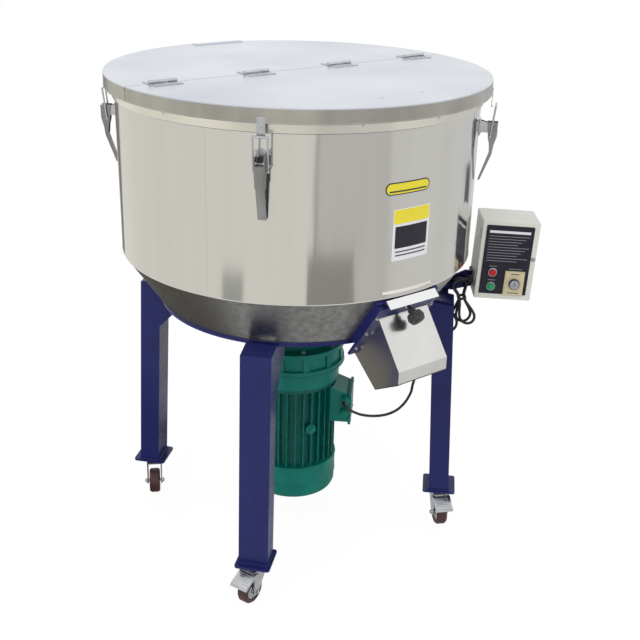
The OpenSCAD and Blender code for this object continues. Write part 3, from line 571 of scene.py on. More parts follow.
class Shaper:
    """Collects plain solids in one mesh, in a chosen frame, and makes them one piece."""

    def __init__(self, at: Matrix | None = None) -> None:
        """Starts an empty mesh.

        Args:
            at: the frame in which the solids are given.
        """
        self.mesh = bmesh.new()
        self.at = at or Matrix()

    def add(self, points: list[Vector], faces: list[tuple[int, ...]], where: Matrix | None) -> None:
        """Adds one closed solid.

        Args:
            points: its corners.
            faces: its faces as indices of the corners.
            where: its own frame inside the piece's frame.
        """
        frame_here = self.at @ (where or Matrix())
        corners = [self.mesh.verts.new(frame_here @ point) for point in points]
        for face in faces:
            self.mesh.faces.new([corners[index] for index in face])

    def block(self, centre: Point, size: Point, where: Matrix | None = None) -> "Shaper":
        """Adds a box about its centre."""
        half = Vector(size) / 2
        outline = [(-half.x, -half.y), (half.x, -half.y), (half.x, half.y), (-half.x, half.y)]
        moved = [(x + centre[0], y + centre[1]) for x, y in outline]
        return self.plate(moved, centre[2] - half.z, centre[2] + half.z, where)

    def plate(self, outline: Outline, low: float, high: float, where: Matrix | None = None) -> "Shaper":
        """Adds a flat outline drawn out along z.

        Args:
            outline: the corners, anticlockwise seen from +z.
            low: the lower height.
            high: the upper height.
            where: the outline's own frame.

        Returns:
            The shaper.
        """
        count = len(outline)
        points = [Vector((x, y, z)) for z in (low, high) for x, y in outline]
        faces = [tuple(reversed(range(count))), tuple(range(count, 2 * count))]
        faces += [(k, (k + 1) % count, count + (k + 1) % count, count + k) for k in range(count)]
        self.add(points, faces, where)
        return self

    def turning(self, profile: Outline, where: Matrix | None = None, sides: int = 32) -> "Shaper":
        """Adds a solid of revolution about z.

        Args:
            profile: points of radius and height from the lower end to the upper end.
            where: the axis' own frame.
            sides: the number of segments.

        Returns:
            The shaper.
        """
        points = [Vector((r * math.cos(2 * math.pi * k / sides), r * math.sin(2 * math.pi * k / sides), z))
                  for r, z in profile for k in range(sides)]
        faces = [tuple(reversed(range(sides)))]
        for row in range(len(profile) - 1):
            start = row * sides
            faces += [(start + k, start + (k + 1) % sides, start + sides + (k + 1) % sides, start + sides + k)
                      for k in range(sides)]
        last = (len(profile) - 1) * sides
        faces.append(tuple(range(last, last + sides)))
        self.add(points, faces, where)
        return self

    def hoop(self, radius: float, height: float, thickness: float, start: float = 0.0, end: float = 360.0,
             flat: float = 1.0, sides: int = 8) -> "Shaper":
        """Adds a round bead that runs about z, whole or in part.

        Args:
            radius: radius of the bead's line.
            height: height of the bead's line.
            thickness: radius of the bead itself.
            start: azimuth where it begins, in degrees.
            end: azimuth where it ends, in degrees.
            flat: the bead's height as a share of its depth.
            sides: segments round the bead.

        Returns:
            The shaper.
        """
        turns = [2 * math.pi * k / sides for k in range(sides)]
        section = [(radius + thickness * math.cos(turn), height + thickness * flat * math.sin(turn))
                   for turn in turns]
        return self.sweep(section, start, end)

    def sweep(self, section: Outline, start: float = 0.0, end: float = 360.0, steps: int = 128) -> "Shaper":
        """Adds a closed section that runs about z, whole or in part.

        Args:
            section: its points of radius and height.
            start: azimuth where it begins, in degrees.
            end: azimuth where it ends, in degrees.
            steps: segments along it.

        Returns:
            The shaper.
        """
        whole = end - start >= 360
        rows = steps if whole else steps + 1
        sides = len(section)
        turns = [math.radians(start + (end - start) * row / steps - 90) for row in range(rows)]
        points = [Vector((out * math.cos(a), out * math.sin(a), up)) for a in turns for out, up in section]
        faces = []
        for row in range(rows if whole else rows - 1):
            here, after = row * sides, ((row + 1) % rows) * sides
            faces += [(here + k, after + k, after + (k + 1) % sides, here + (k + 1) % sides) for k in range(sides)]
        if not whole:
            faces += [tuple(range(sides)), tuple(reversed(range((rows - 1) * sides, rows * sides)))]
        self.add(points, faces, None)
        return self

    def hex_bolt(self, where: Matrix, size: float, height: float, washer: float = 0.0012) -> "Shaper":
        """Adds a hexagon head on a washer, its base on the frame's xy plane."""
        self.turning([(size * 0.95, 0), (size * 0.95, washer * 0.7), (size * 0.88, washer)], where, 24)
        self.turning([(size * 0.62, washer), (size * 0.62, washer + height * 0.85), (size * 0.5, washer + height)],
                     where, 6)
        return self

    def screw(self, where: Matrix, radius: float, height: float) -> "Shaper":
        """Adds a low domed screw or rivet head, its base on the frame's xy plane."""
        profile = [(radius, 0), (radius * 0.97, height * 0.4), (radius * 0.75, height * 0.8), (radius * 0.35, height)]
        return self.turning(profile, where, 20)

    def done(self, name: str, smooth: bool = True, bevel: float = 0.0, segments: int = 2) -> bpy.types.Object:
        """Makes the piece and links it to the scene.

        Args:
            name: the piece's name.
            smooth: whether gentle edges are shaded smooth.
            bevel: width of the rounding along the edges.
            segments: segments of that rounding.

        Returns:
            The piece.
        """
        bmesh.ops.recalc_face_normals(self.mesh, faces=self.mesh.faces)
        data = bpy.data.meshes.new(name)
        self.mesh.to_mesh(data)
        self.mesh.free()
        piece = bpy.data.objects.new(name, data)
        bpy.context.scene.collection.objects.link(piece)
        if bevel > 0:
            rounding = piece.modifiers.new("rounding", "BEVEL")
            rounding.width, rounding.segments, rounding.limit_method = bevel, segments, "ANGLE"
            rounding.angle_limit = math.radians(40)
            rounding.harden_normals = False
        if smooth:
            data.shade_smooth()
            data.set_sharp_from_angle(angle=math.radians(38))
        return piece


def shift(x: float = 0.0, y: float = 0.0, z: float = 0.0) -> Matrix:
    """Gives a move as a matrix."""
    return Matrix.Translation((x, y, z))


def spin(degrees: float, axis: str) -> Matrix:
    """Gives a turn about an axis as a matrix."""
    return Matrix.Rotation(math.radians(degrees), 4, axis)


def rounded_outline(width: float, height: float, radius: float, steps: int = 6) -> Outline:
    """Gives a rectangle with round corners about the origin.

    Args:
        width: its width.
        height: its height.
        radius: the radius of its corners.
        steps: segments of each corner.

    Returns:
        The corners, anticlockwise.
    """
    outline = []
    for corner, (side_x, side_y) in enumerate(((1, 1), (-1, 1), (-1, -1), (1, -1))):
        for step in range(steps + 1):
            angle = math.radians(90 * corner + 90 * step / steps)
            outline.append((side_x * (width / 2 - radius) + radius * math.cos(angle),
                            side_y * (height / 2 - radius) + radius * math.sin(angle)))
    return outline


@dataclass
class Cable:
    """The motor's cable: from its gland behind the front right leg, round its hank and into the control box."""

    diameter: float = 0.008
    route: tuple[Point, ...] = (
        (0.069, -0.155, 0.409), (0.058, -0.166, 0.408), (0.057, -0.180, 0.401), (0.074, -0.188, 0.388),
        (0.102, -0.188, 0.370), (0.136, -0.186, 0.354), (0.170, -0.186, 0.343), (0.205, -0.190, 0.339),
        (0.238, -0.196, 0.346), (0.264, -0.202, 0.367), (0.279, -0.208, 0.398), (0.282, -0.212, 0.430),
        (0.296, -0.218, 0.479), (0.317, -0.230, 0.528), (0.342, -0.245, 0.566), (0.365, -0.260, 0.590),
        (0.378, -0.271, 0.609), (0.380, -0.272, 0.630),
    )
    hank_centre: Point = (-0.101, -0.143, -0.0686)
    lean: float = 15.0
    half_run: float = 0.040
    fold: float = 0.024
    pitch: float = 0.0084
    fan_out: float = 0.5
    fan_down: float = 0.24
    tie_along: float = 0.006
    waist: float = 0.72
    waist_reach: float = 0.033
    gland: Point = (-0.0855, -0.075, -0.0486)

    def build(self) -> None:
        points = self._path()
        data = bpy.data.curves.new("motor_cord", "CURVE")
        data.dimensions = "3D"
        data.bevel_depth, data.bevel_resolution, data.use_fill_caps = self.diameter / 2, 3, True
        line = data.splines.new("POLY")
        line.points.add(len(points) - 1)
        for spot, point in zip(line.points, points):
            spot.co = (*point, 1.0)
        cord = bpy.data.objects.new("motor_cord", data)
        bpy.context.scene.collection.objects.link(cord)
        place(cord, MACHINE, CORD)
        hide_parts("motor_cable", "supply_cable", "supply_hank")
        extras = [self._tie(), self._strain_relief(points)]

    def _hank_frame(self) -> Matrix:
        """Frame of the hank: x across it, y along it, z through its turns."""
        return LAYOUT.box @ shift(*self.hank_centre) @ spin(self.lean, "Z")

    def _path(self) -> list[Vector]:
        """Gives the cable's line.

        Returns:
            The points of the line from the motor's gland to the box's gland.
        """
        run = [Vector(point) for point in self.route]
        hank = self._hank_frame()
        coil = self._coil()
        first = [hank @ point for point in coil[:3]]
        ends = [LAYOUT.box @ Vector(point) for point in
                ((-0.108, -0.0784, -0.0487), (-0.097, -0.0757, -0.0486), self.gland)]
        control = run + first
        smooth = []
        for index in range(len(run)):
            before, here, after, beyond = (control[max(index - 1, 0)], control[index], control[index + 1],
                                           control[min(index + 2, len(control) - 1)])
            for step in range(5):
                smooth.append(self._between(before, here, after, beyond, step / 5))
        return smooth + [hank @ point for point in coil] + ends

    @staticmethod
    def _between(before: Vector, here: Vector, after: Vector, beyond: Vector, share: float) -> Vector:
        """Gives a point of the smooth curve between two route points."""
        return 0.5 * (2 * here + (after - before) * share + (2 * before - 5 * here + 4 * after - beyond) * share**2
                      + (3 * here - before - 3 * after + beyond) * share**3)

    def _coil(self) -> list[Vector]:
        """Gives the hank's turns in its own frame.

        Returns:
            The points from the left run's lower end, up and round, to the top of the last fold.
        """
        around = 4 * self.half_run + 2 * math.pi * self.fold
        total = 2 * around + 2 * self.half_run + math.pi * self.fold / 2
        steps = 118
        return [self._fanned(self._on_turn(total * step / steps, around), step / steps)
                for step in range(steps + 1)]

    def _fanned(self, point: Vector, share: float) -> Vector:
        """Draws the turns together at the tie and spreads their lower ends, so that none hides another."""
        point.x *= 1 - self.waist * math.exp(-((point.y - self.tie_along) / self.waist_reach) ** 2)
        if point.y < 0:
            point.x += self.fan_out * point.y * (0.5 - share)
            point.y *= 1 + self.fan_down * share
        return point

    def _on_turn(self, along: float, around: float) -> Vector:
        """Gives one point of the turns, a given length from their start."""
        here = along % around
        height = self.pitch * along / around
        run, bend = 2 * self.half_run, math.pi * self.fold
        if here < run:
            return Vector((-self.fold, here - self.half_run, height))
        if here < run + bend:
            angle = math.pi - (here - run) / self.fold
            return Vector((self.fold * math.cos(angle), self.half_run + self.fold * math.sin(angle), height))
        if here < 2 * run + bend:
            return Vector((self.fold, self.half_run - (here - run - bend), height))
        angle = -(here - 2 * run - bend) / self.fold
        return Vector((self.fold * math.cos(angle), -self.half_run + self.fold * math.sin(angle), height))

    def _tie(self) -> bpy.types.Object:
        """Makes the strap round the hank.

        Returns:
            The strap.
        """
        width, depth, thick = 2 * self.fold * (1 - self.waist) + self.diameter + 0.001, 0.0262, 0.0016
        outer = rounded_outline(width + 2 * thick, depth + 2 * thick, 0.005)
        inner = rounded_outline(width, depth, 0.0036)
        shaper = Shaper(self._hank_frame() @ shift(0, self.tie_along, 0.0084) @ spin(90, "X"))
        count = len(outer)
        points = [Vector((x, y, z)) for z in (-0.004, 0.004) for ring in (outer, inner) for x, y in ring]
        faces = []
        for k in range(count):
            after = (k + 1) % count
            faces.append((k, after, 2 * count + after, 2 * count + k))
            faces.append((count + k, 3 * count + k, 3 * count + after, count + after))
            faces.append((k, count + k, count + after, after))
            faces.append((2 * count + k, 2 * count + after, 3 * count + after, 3 * count + k))
        shaper.add(points, faces, None)
        return place(shaper.done("hank_tie"), MACHINE, BLACK)

    def _strain_relief(self, points: list[Vector]) -> bpy.types.Object:
        """Makes the tapered sleeve where the cable leaves the motor's gland.

        Args:
            points: the cable's line.

        Returns:
            The sleeve.
        """
        shaper = Shaper()
        rings = []
        sides, rows, reach = 16, 6, 6
        for row in range(rows + 1):
            here = points[row * reach // rows]
            ahead = (points[row * reach // rows + 1] - here).normalized()
            turn = ahead.to_track_quat("Z", "Y").to_matrix().to_4x4()
            radius = 0.0078 - 0.0030 * row / rows
            rings.append([Matrix.Translation(here) @ turn @ Vector((radius * math.cos(2 * math.pi * k / sides),
                                                                   radius * math.sin(2 * math.pi * k / sides), 0))
                          for k in range(sides)])
        faces = [tuple(reversed(range(sides)))]
        for row in range(rows):
            faces += [(row * sides + k, row * sides + (k + 1) % sides, (row + 1) * sides + (k + 1) % sides,
                       (row + 1) * sides + k) for k in range(sides)]
        faces.append(tuple(range(rows * sides, (rows + 1) * sides)))
        shaper.add([point for ring in rings for point in ring], faces, None)
        return place(shaper.done("motor_cord_sleeve"), MACHINE, BLACK)


@dataclass
class Tub:
    """What the tub's sheet carries: seams, tacks and two plain labels."""

    bead: float = 0.0014
    weld_azimuths: tuple[float, ...] = (-62.5, 117.5)
    tack_azimuths: tuple[float, ...] = (-76.0, -46.5, -19.0, 6.0, 30.0, 60.0, 100.0, 160.0, -150.0, -110.0)
    shade_line_heights: tuple[float, ...] = (1.2780, 1.3052)
    label_gap: float = 0.0004

    def build(self) -> None:
        """Makes and dresses all of the tub's small pieces."""
        radius, seam = LAYOUT.tub_radius, LAYOUT.seam
        # The seam bead is in the rim's lighter steel, a painted highlight along the seam.
        hem = Shaper().hoop(radius - 0.0004, seam, self.bead, flat=0.8)
        place(hem.done("tub_seam_bead"), MACHINE, RIM_PAINTED_HIGHLIGHT)
        edge = Shaper().hoop(LAYOUT.cone_low_radius + 0.0006, LAYOUT.cone_low + 0.0015, 0.003, flat=0.7)
        place(edge.done("tub_ring_weld"), MACHINE, NAVY)
        for side, azimuth in zip(("front", "rear"), self.weld_azimuths):
            middle = (seam + 1.279) / 2
            weld = Shaper(turned(azimuth, radius, middle)).block((0.0001, 0, 0), (0.0006, 0.0016, 1.279 - seam))
            place(weld.done(f"tub_wall_weld_{side}"), MACHINE, WALL)
        strip = [(radius, 0.8805), (radius + 0.0035, 0.8795), (radius + 0.0045, 0.8815), (radius + 0.0012, 0.8885),
                 (radius, 0.8885)]
        # The drip strip is in the rim's lighter steel too, a painted highlight.
        place(Shaper().sweep(strip, -10.5, 8.0, steps=24).done("tub_drip_strip"), MACHINE, RIM_PAINTED_HIGHLIGHT)
        # Two near-black hoops on the wall, one at the rim hoop's top under the lid's edge and one at its foot: painted
        # shade lines for the shadow gaps there.
        shade_lines = Shaper()
        for height in self.shade_line_heights:
            shade_lines.hoop(radius + 0.0004, height, 0.0013)
        place(shade_lines.done("hoop_shade_lines"), MACHINE, SHADE_LINE)
        tacks = Shaper()
        for azimuth in self.tack_azimuths:
            where = turned(azimuth, radius + 0.006, 1.296) @ spin(90, "Y")
            tacks.screw(where, 0.004, 0.0016)
        place(tacks.done("hoop_tacks"), MACHINE, ZINC)
        self._labels()

    def _patch(self, name: str, outline: Outline, azimuth: float, height: float, lift: float,
               finish: Finish) -> None:
        """Lays a thin label on the tub's wall.

        Args:
            name: the piece's name.
            outline: its corners in metres along the wall and up.
            azimuth: azimuth of its centre.
            height: height of its centre.
            lift: how far its outer face stands out from the wall.
            finish: what covers it.
        """
        mesh = bmesh.new()
        corners = [mesh.verts.new((x, y, 0)) for x, y in outline]
        mesh.faces.new(corners)
        bmesh.ops.triangulate(mesh, faces=mesh.faces)
        width = max(x for x, _ in outline) - min(x for x, _ in outline)
        cuts = max(4, int(width / 0.006))
        low = min(x for x, _ in outline)
        for cut in range(1, cuts):
            geometry = mesh.verts[:] + mesh.edges[:] + mesh.faces[:]
            bmesh.ops.bisect_plane(mesh, geom=geometry, plane_co=(low + width * cut / cuts, 0, 0),
                                   plane_no=(1, 0, 0))
        out = LAYOUT.tub_radius + lift
        for corner in mesh.verts:
            angle = math.radians(azimuth) + corner.co.x / out
            corner.co = Vector((out * math.sin(angle), -out * math.cos(angle), height + corner.co.y))
        data = bpy.data.meshes.new(name)
        bmesh.ops.recalc_face_normals(mesh, faces=mesh.faces)
        mesh.to_mesh(data)
        mesh.free()
        piece = bpy.data.objects.new(name, data)
        bpy.context.scene.collection.objects.link(piece)
        thick = piece.modifiers.new("film", "SOLIDIFY")
        thick.thickness, thick.offset = self.label_gap, 0.0
        place(piece, MACHINE, finish)

    def _labels(self) -> None:
        """Makes a plain pill-shaped label and a plain two-part label, without words or signs."""
        pill = rounded_outline(0.130, 0.030, 0.0145)
        self._patch("pill_label", pill, -3.2, 1.141, 0.0004, INK)
        self._patch("pill_label_face", rounded_outline(0.124, 0.0245, 0.012), -3.2, 1.141, 0.0008, YELLOW)
        self._patch("pill_label_stripe", rounded_outline(0.110, 0.0035, 0.0016), -3.2, 1.1345, 0.0012, INK)
        card = rounded_outline(0.112, 0.128, 0.003)
        self._patch("plain_label", card, -1.2, 1.027, 0.0004, WHITE)
        self._patch("plain_label_head", rounded_outline(0.108, 0.034, 0.002), -1.2, 1.072, 0.0008, YELLOW)
        self._patch("plain_label_field", rounded_outline(0.098, 0.054, 0.002), -1.2, 1.021, 0.0008, PANEL)
        for row, height in enumerate((0.985, 0.976)):
            self._patch(f"plain_label_rule_{row}", rounded_outline(0.094, 0.0030, 0.0012), -1.2, height, 0.0008, INK)


@dataclass
class Lid:
    """What the two halves of the lid carry: hinge screws, marks, and the rolled lower edge and side band in the lid
    side's painted reflection.
    """

    hinge_places: tuple[float, ...] = (-0.400, -0.133, 0.133, 0.400)
    leaf_top: float = 1.340
    screw_row: float = 0.020

    def build(self) -> None:
        """Makes and dresses all of the lid's small pieces."""
        edge = LAYOUT.lid_top - 0.0335
        # The rolled lower edges take the lid side's darker steel, a painted reflection.
        front = Shaper().hoop(LAYOUT.lid_radius - 0.0012, edge, 0.0022, -89.8, 89.8)
        rear = Shaper().hoop(LAYOUT.lid_radius - 0.0012, edge, 0.0022, 90.2, 269.8)
        place(front.done("lid_front_rolled_edge"), "front_lid", LID_SIDE_PAINTED_REFLECTION)
        place(rear.done("lid_rear_rolled_edge"), MACHINE, LID_SIDE_PAINTED_REFLECTION)
        # A thin sheet over each half's side that carries the lid side's painted reflection.
        for name, start, body in (("front", -89.8, "front_lid"), ("rear", 90.2, MACHINE)):
            out = LAYOUT.lid_radius
            section = [(out, edge + 0.001), (out + 0.0006, edge + 0.001), (out + 0.0006, LAYOUT.lid_top - 0.003),
                       (out, LAYOUT.lid_top - 0.003)]
            band = Shaper().sweep(section, start, start + 179.6)
            place(band.done(f"lid_{name}_band"), body, LID_SIDE_PAINTED_REFLECTION)
        crown_front = Shaper().hoop(LAYOUT.lid_radius - 0.0016, LAYOUT.lid_top - 0.0016, 0.0019, -89.8, 89.8)
        crown_rear = Shaper().hoop(LAYOUT.lid_radius - 0.0016, LAYOUT.lid_top - 0.0016, 0.0019, 90.2, 269.8)
        place(crown_front.done("lid_front_crown"), "front_lid", LID)
        place(crown_rear.done("lid_rear_crown"), MACHINE, LID)
        for name, side, body in (("hinge_screws_front", -1, "front_lid"), ("hinge_screws_rear", 1, MACHINE)):
            screws = Shaper()
            for place_x in self.hinge_places:
                for step in (-0.026, 0.0, 0.026):
                    screws.screw(shift(place_x + step, side * self.screw_row, self.leaf_top), 0.0038, 0.0016)
            place(screws.done(name), body, ZINC)
        marks = Shaper()
        for x, y in ((-0.058, -0.399), (0.069, -0.397)):
            marks.screw(shift(x, y, LAYOUT.lid_top), 0.0045, 0.0012)
        place(marks.done("lid_rivets"), "front_lid", LID)


@dataclass
class Latches:
    """Rivets, pin heads and lever covers of the four toggle latches."""

    cover: tuple[tuple[float, float], ...] = (
        (0.0078, -0.006), (0.0070, -0.021), (0.0012, -0.042), (-0.0016, -0.066), (-0.0266, -0.1362),
        (-0.0258, -0.1366), (-0.0004, -0.066), (0.0026, -0.042), (0.0086, -0.021), (0.0092, -0.006),
    )

    def build(self) -> None:
        """Makes and dresses each latch's small pieces."""
        for index, corner in enumerate(CORNERS):
            at = LAYOUT.latch(index)
            rivets = Shaper(at)
            for side in (-1, 1):
                for height in (-0.013, 0.015):
                    rivets.screw(shift(-0.035, side * 0.0145, height) @ spin(90, "Y"), 0.0032, 0.0018)
            place(rivets.done(f"latch_rivets_{corner}"), MACHINE, ZINC)
            heads = Shaper(at)
            for side in (-1, 1):
                heads.turning([(0.0048, 0), (0.0048, 0.0012), (0.0034, 0.0022)],
                              shift(0, side * 0.0131, 0) @ spin(-90 * side, "X"), 20)
            heads.plate(self.cover, -0.0098, 0.0098, spin(90, "X"))
            place(heads.done(f"latch_lever_dress_{corner}", bevel=0.0004), f"latch_lever_{corner}", LEVER)
            body = "front_lid" if corner.startswith("front") else MACHINE
            screws = Shaper(turned(LAYOUT.latch_azimuths[index], LAYOUT.lid_radius + 0.002, 0))
            for height in (1.3135, 1.2975):
                screws.screw(shift(0, 0, height) @ spin(90, "Y"), 0.0034, 0.0016)
            place(screws.done(f"strike_rivets_{corner}"), body, ZINC)


@dataclass
class LegDress:
    """Weld beads at the feet of the four legs."""

    foot_top: float = 0.120
    width: float = 0.080
    depth: float = 0.058

    def build(self) -> None:
        """Makes and dresses each leg's small pieces."""
        for index, corner in enumerate(CORNERS):
            at = turned(LAYOUT.leg_azimuths[index], LAYOUT.leg_radius, 0)
            foot = Shaper(at @ shift(0, 0, self.foot_top))
            half_x, half_y, bead = self.depth / 2 + 0.001, self.width / 2 + 0.001, 0.003
            for side in (-1, 1):
                foot.turning([(bead, -half_y), (bead, half_y)], shift(side * half_x, 0, 0.001) @ spin(90, "X"), 8)
                foot.turning([(bead, -half_x), (bead, half_x)], shift(0, side * half_y, 0.001) @ spin(90, "Y"), 8)
            place(foot.done(f"foot_weld_{corner}"), MACHINE, NAVY)


@dataclass
class Casters:
    """Hubs, nuts and pedal ribs of the four casters."""

    wheel_radius: float = 0.0375
    half_width: float = 0.0155
    trail: float = 0.028
    arm_out: float = 0.0225
    pedal_pin: tuple[float, float] = (0.026, 0.088)

    def build(self) -> None:
        """Makes and dresses each caster's small pieces."""
        for index, corner in enumerate(CORNERS):
            at = LAYOUT.caster(index)
            hub = Shaper(at @ shift(self.trail, 0, self.wheel_radius))
            for side in (-1, 1):
                where = shift(0, side * (self.half_width - 0.0036), 0) @ spin(-90 * side, "X")
                hub.turning([(0.0245, 0), (0.0245, 0.0009), (0.0175, 0.0012), (0.0165, 0.0026), (0.0115, 0.0032),
                             (0.0105, 0.0045), (0.0078, 0.0046)], where, 40)
            place(hub.done(f"wheel_hub_{corner}"), f"caster_wheel_{corner}", ZINC)
            fork = Shaper(at)
            for side in (-1, 1):
                where = shift(self.trail, side * (self.arm_out + 0.0042), self.wheel_radius) @ spin(-90 * side, "X")
                fork.turning([(0.0048, 0), (0.0048, 0.0028), (0.0036, 0.0036)], where, 20)
                rim = shift(self.trail, side * self.arm_out, self.wheel_radius) @ spin(-90 * side, "X")
                fork.turning([(0.0098, 0), (0.0098, 0.0008), (0.0088, 0.0013)], rim, 24)
            place(fork.done(f"fork_nuts_{corner}", bevel=0.0003), f"caster_fork_{corner}", ZINC)
            race = Shaper(at)
            race.turning([(0.0262, 0.1062), (0.0275, 0.1072), (0.0275, 0.1118), (0.0262, 0.1128)], None, 40)
            place(race.done(f"caster_race_{corner}"), MACHINE, ZINC)
            if corner.startswith("front"):
                self._pedal(at, corner)

    def _pedal(self, at: Matrix, corner: str) -> None:
        """Makes the ribs and the turned lip of a brake pedal.

        Args:
            at: the caster's frame.
            corner: the caster's corner.
        """
        slope = math.degrees(math.atan2(0.022, 0.040))
        pad = Shaper(at @ shift(self.pedal_pin[0] + 0.012, 0, self.pedal_pin[1] + 0.008) @ spin(slope, "Y"))
        for step in range(5):
            pad.block((0.006 + 0.0052 * step, 0, 0.0007), (0.0022, 0.036, 0.0014))
        pad.block((0.0390, 0, 0.0010), (0.0100, 0.052, 0.0020))
        place(pad.done(f"pedal_ribs_{corner}", bevel=0.0005), f"brake_pedal_{corner}", ZINC)


@dataclass
class Drive:
    """Bolts, boss, cowl and covers of the geared motor."""

    flange_radius: float = 0.145
    flange_low: float = 0.512
    flange_high: float = 0.580
    fins_radius: float = 0.124
    fan_top: float = 0.205
    motor_top: float = 0.463
    terminal_azimuth: float = 47.0

    def build(self) -> None:
        """Makes and dresses the drive's small pieces."""
        bolts = Shaper()
        for k in range(12):
            where = turned(k * 30 + 8 + 90 + 15, self.flange_radius - 0.016, self.flange_low + 0.014)
            bolts.turning([(0.005, 0), (0.005, 0.040)], where, 12)
            bolts.turning([(0.0095, 0.001), (0.0095, 0.0085), (0.0085, 0.0095)], where, 6)
            bolts.turning([(0.0095, 0.0305), (0.0085, 0.0295), (0.0085, 0.0385), (0.0095, 0.0375)], where, 6)
        place(bolts.done("flange_bolts", bevel=0.0004), MACHINE, TEAL)
        heads = Shaper()
        for k in range(8):
            heads.hex_bolt(turned(k * 45 + 20, self.flange_radius - 0.018, self.flange_high), 0.009, 0.007)
        place(heads.done("flange_top_bolts"), MACHINE, ZINC)
        boss = Shaper(turned(-12, self.fins_radius - 0.008, 0.330) @ spin(90, "Y"))
        boss.turning([(0.016, 0), (0.016, 0.008), (0.013, 0.011), (0.0085, 0.0115), (0.0085, 0.016), (0.006, 0.0175)],
                     None, 28)
        place(boss.done("motor_boss", bevel=0.0006), MACHINE, TEAL)
        band = Shaper().hoop(self.fins_radius + 0.0030, self.fan_top - 0.0055, 0.0016, flat=2.2)
        band.hoop(self.fins_radius + 0.0030, 0.143, 0.0012, flat=1.4)
        place(band.done("cowl_bands"), MACHINE, TEAL)
        ring = Shaper().hoop(self.fins_radius + 0.0068, self.motor_top + 0.0486, 0.0018)
        ring.hoop(self.flange_radius - 0.0002, self.flange_low + 0.0008, 0.0016)
        ring.hoop(self.flange_radius - 0.0002, self.flange_high - 0.0012, 0.0016)
        place(ring.done("housing_edges"), MACHINE, TEAL)
        screws = Shaper()
        for k in range(4):
            where = turned(k * 90 + 6, self.fins_radius + 0.003, 0.190) @ spin(90, "Y")
            screws.screw(where, 0.0055, 0.003)
        place(screws.done("cowl_screws"), MACHINE, TEAL)
        self._terminal_box()

    def _terminal_box(self) -> None:
        """Makes the lid screws, the gland nuts and the blanking plug of the terminal box."""
        at = turned(self.terminal_azimuth, self.fins_radius, 0)
        screws = Shaper(at)
        for y in (-0.046, 0.046):
            for z in (0.3365, 0.4195):
                screws.screw(shift(0.050, y, z) @ spin(90, "Y"), 0.0042, 0.0024)
        place(screws.done("terminal_screws"), MACHINE, ZINC)
        nuts = Shaper(at)
        for z in (0.369, 0.409):
            where = shift(0.032, -0.066, z) @ spin(90, "X")
            nuts.turning([(0.0135, -0.005), (0.0135, 0.003), (0.012, 0.0045)], where, 6)
        nuts.turning([(0.010, 0.004), (0.010, 0.0075), (0.008, 0.0085)], shift(0.032, -0.066, 0.369) @ spin(90, "X"), 20)
        nuts.turning([(0.0112, 0.004), (0.0100, 0.008), (0.0080, 0.0095)], shift(0.032, -0.066, 0.409) @ spin(90, "X"),
                     20)
        place(nuts.done("gland_nuts", bevel=0.0005), MACHINE, TEAL)


@dataclass
class Outlet:
    """Bolts of the outlet frame, the hem of the chute in dark lines of painted shade, and the grip of the star knob.
    """

    front: float = 0.015
    stud_up: float = 0.108
    knob_low: float = 0.041
    knob_high: float = 0.063

    def build(self) -> None:
        """Makes and dresses the outlet's small pieces."""
        at = LAYOUT.outlet
        bolts = Shaper(at)
        for side in (-1, 1):
            for up in (-0.045, 0.020, 0.085):
                bolts.hex_bolt(shift(side * 0.089, up, self.front), 0.0052, 0.004)
        place(bolts.done("outlet_bolts", bevel=0.0003), MACHINE, ZINC)
        strip = Shaper(at)
        strip.block((0, 0.1265, 0.0035), (0.150, 0.003, 0.003))
        place(strip.done("outlet_strip", bevel=0.0004), MACHINE, CHUTE)
        # Thin rods along the chute's two sides and its upper edge, in the near-black shade-line steel: painted shade
        # along the hem.
        hem = Shaper()
        for side in (-1, 1):
            hem.turning([(0.0016, 0), (0.0016, 0.0965)],
                        self._line((side * 0.0792, -0.537, 0.666), (side * 0.0792, -0.452, 0.619)), 8)
        hem.turning([(0.0016, -0.0798), (0.0016, 0.0798)], shift(0, -0.5362, 0.6665) @ spin(90, "Y"), 8)
        place(hem.done("chute_hem_shade_lines"), MACHINE, SHADE_LINE)
        knob = Shaper(at @ shift(0, self.stud_up, 0))
        knob.turning([(0.0095, self.knob_high), (0.0095, self.knob_high + 0.001), (0.007, self.knob_high + 0.002)],
                     None, 24)
        knob.turning([(0.0115, self.knob_low - 0.004), (0.0125, self.knob_low - 0.001), (0.0125, self.knob_low)],
                     None, 24)
        place(knob.done("knob_cap"), "star_knob", BLACK)
        nut = Shaper(at @ shift(0, self.stud_up, self.front))
        nut.turning([(0.010, 0), (0.010, 0.0015)], None, 28)
        place(nut.done("stud_washer"), MACHINE, ZINC)

    @staticmethod
    def _line(start: Point, end: Point) -> Matrix:
        """Gives the frame at a line's start with z along it."""
        ahead = (Vector(end) - Vector(start)).normalized()
        return Matrix.Translation(start) @ ahead.to_track_quat("Z", "Y").to_matrix().to_4x4()


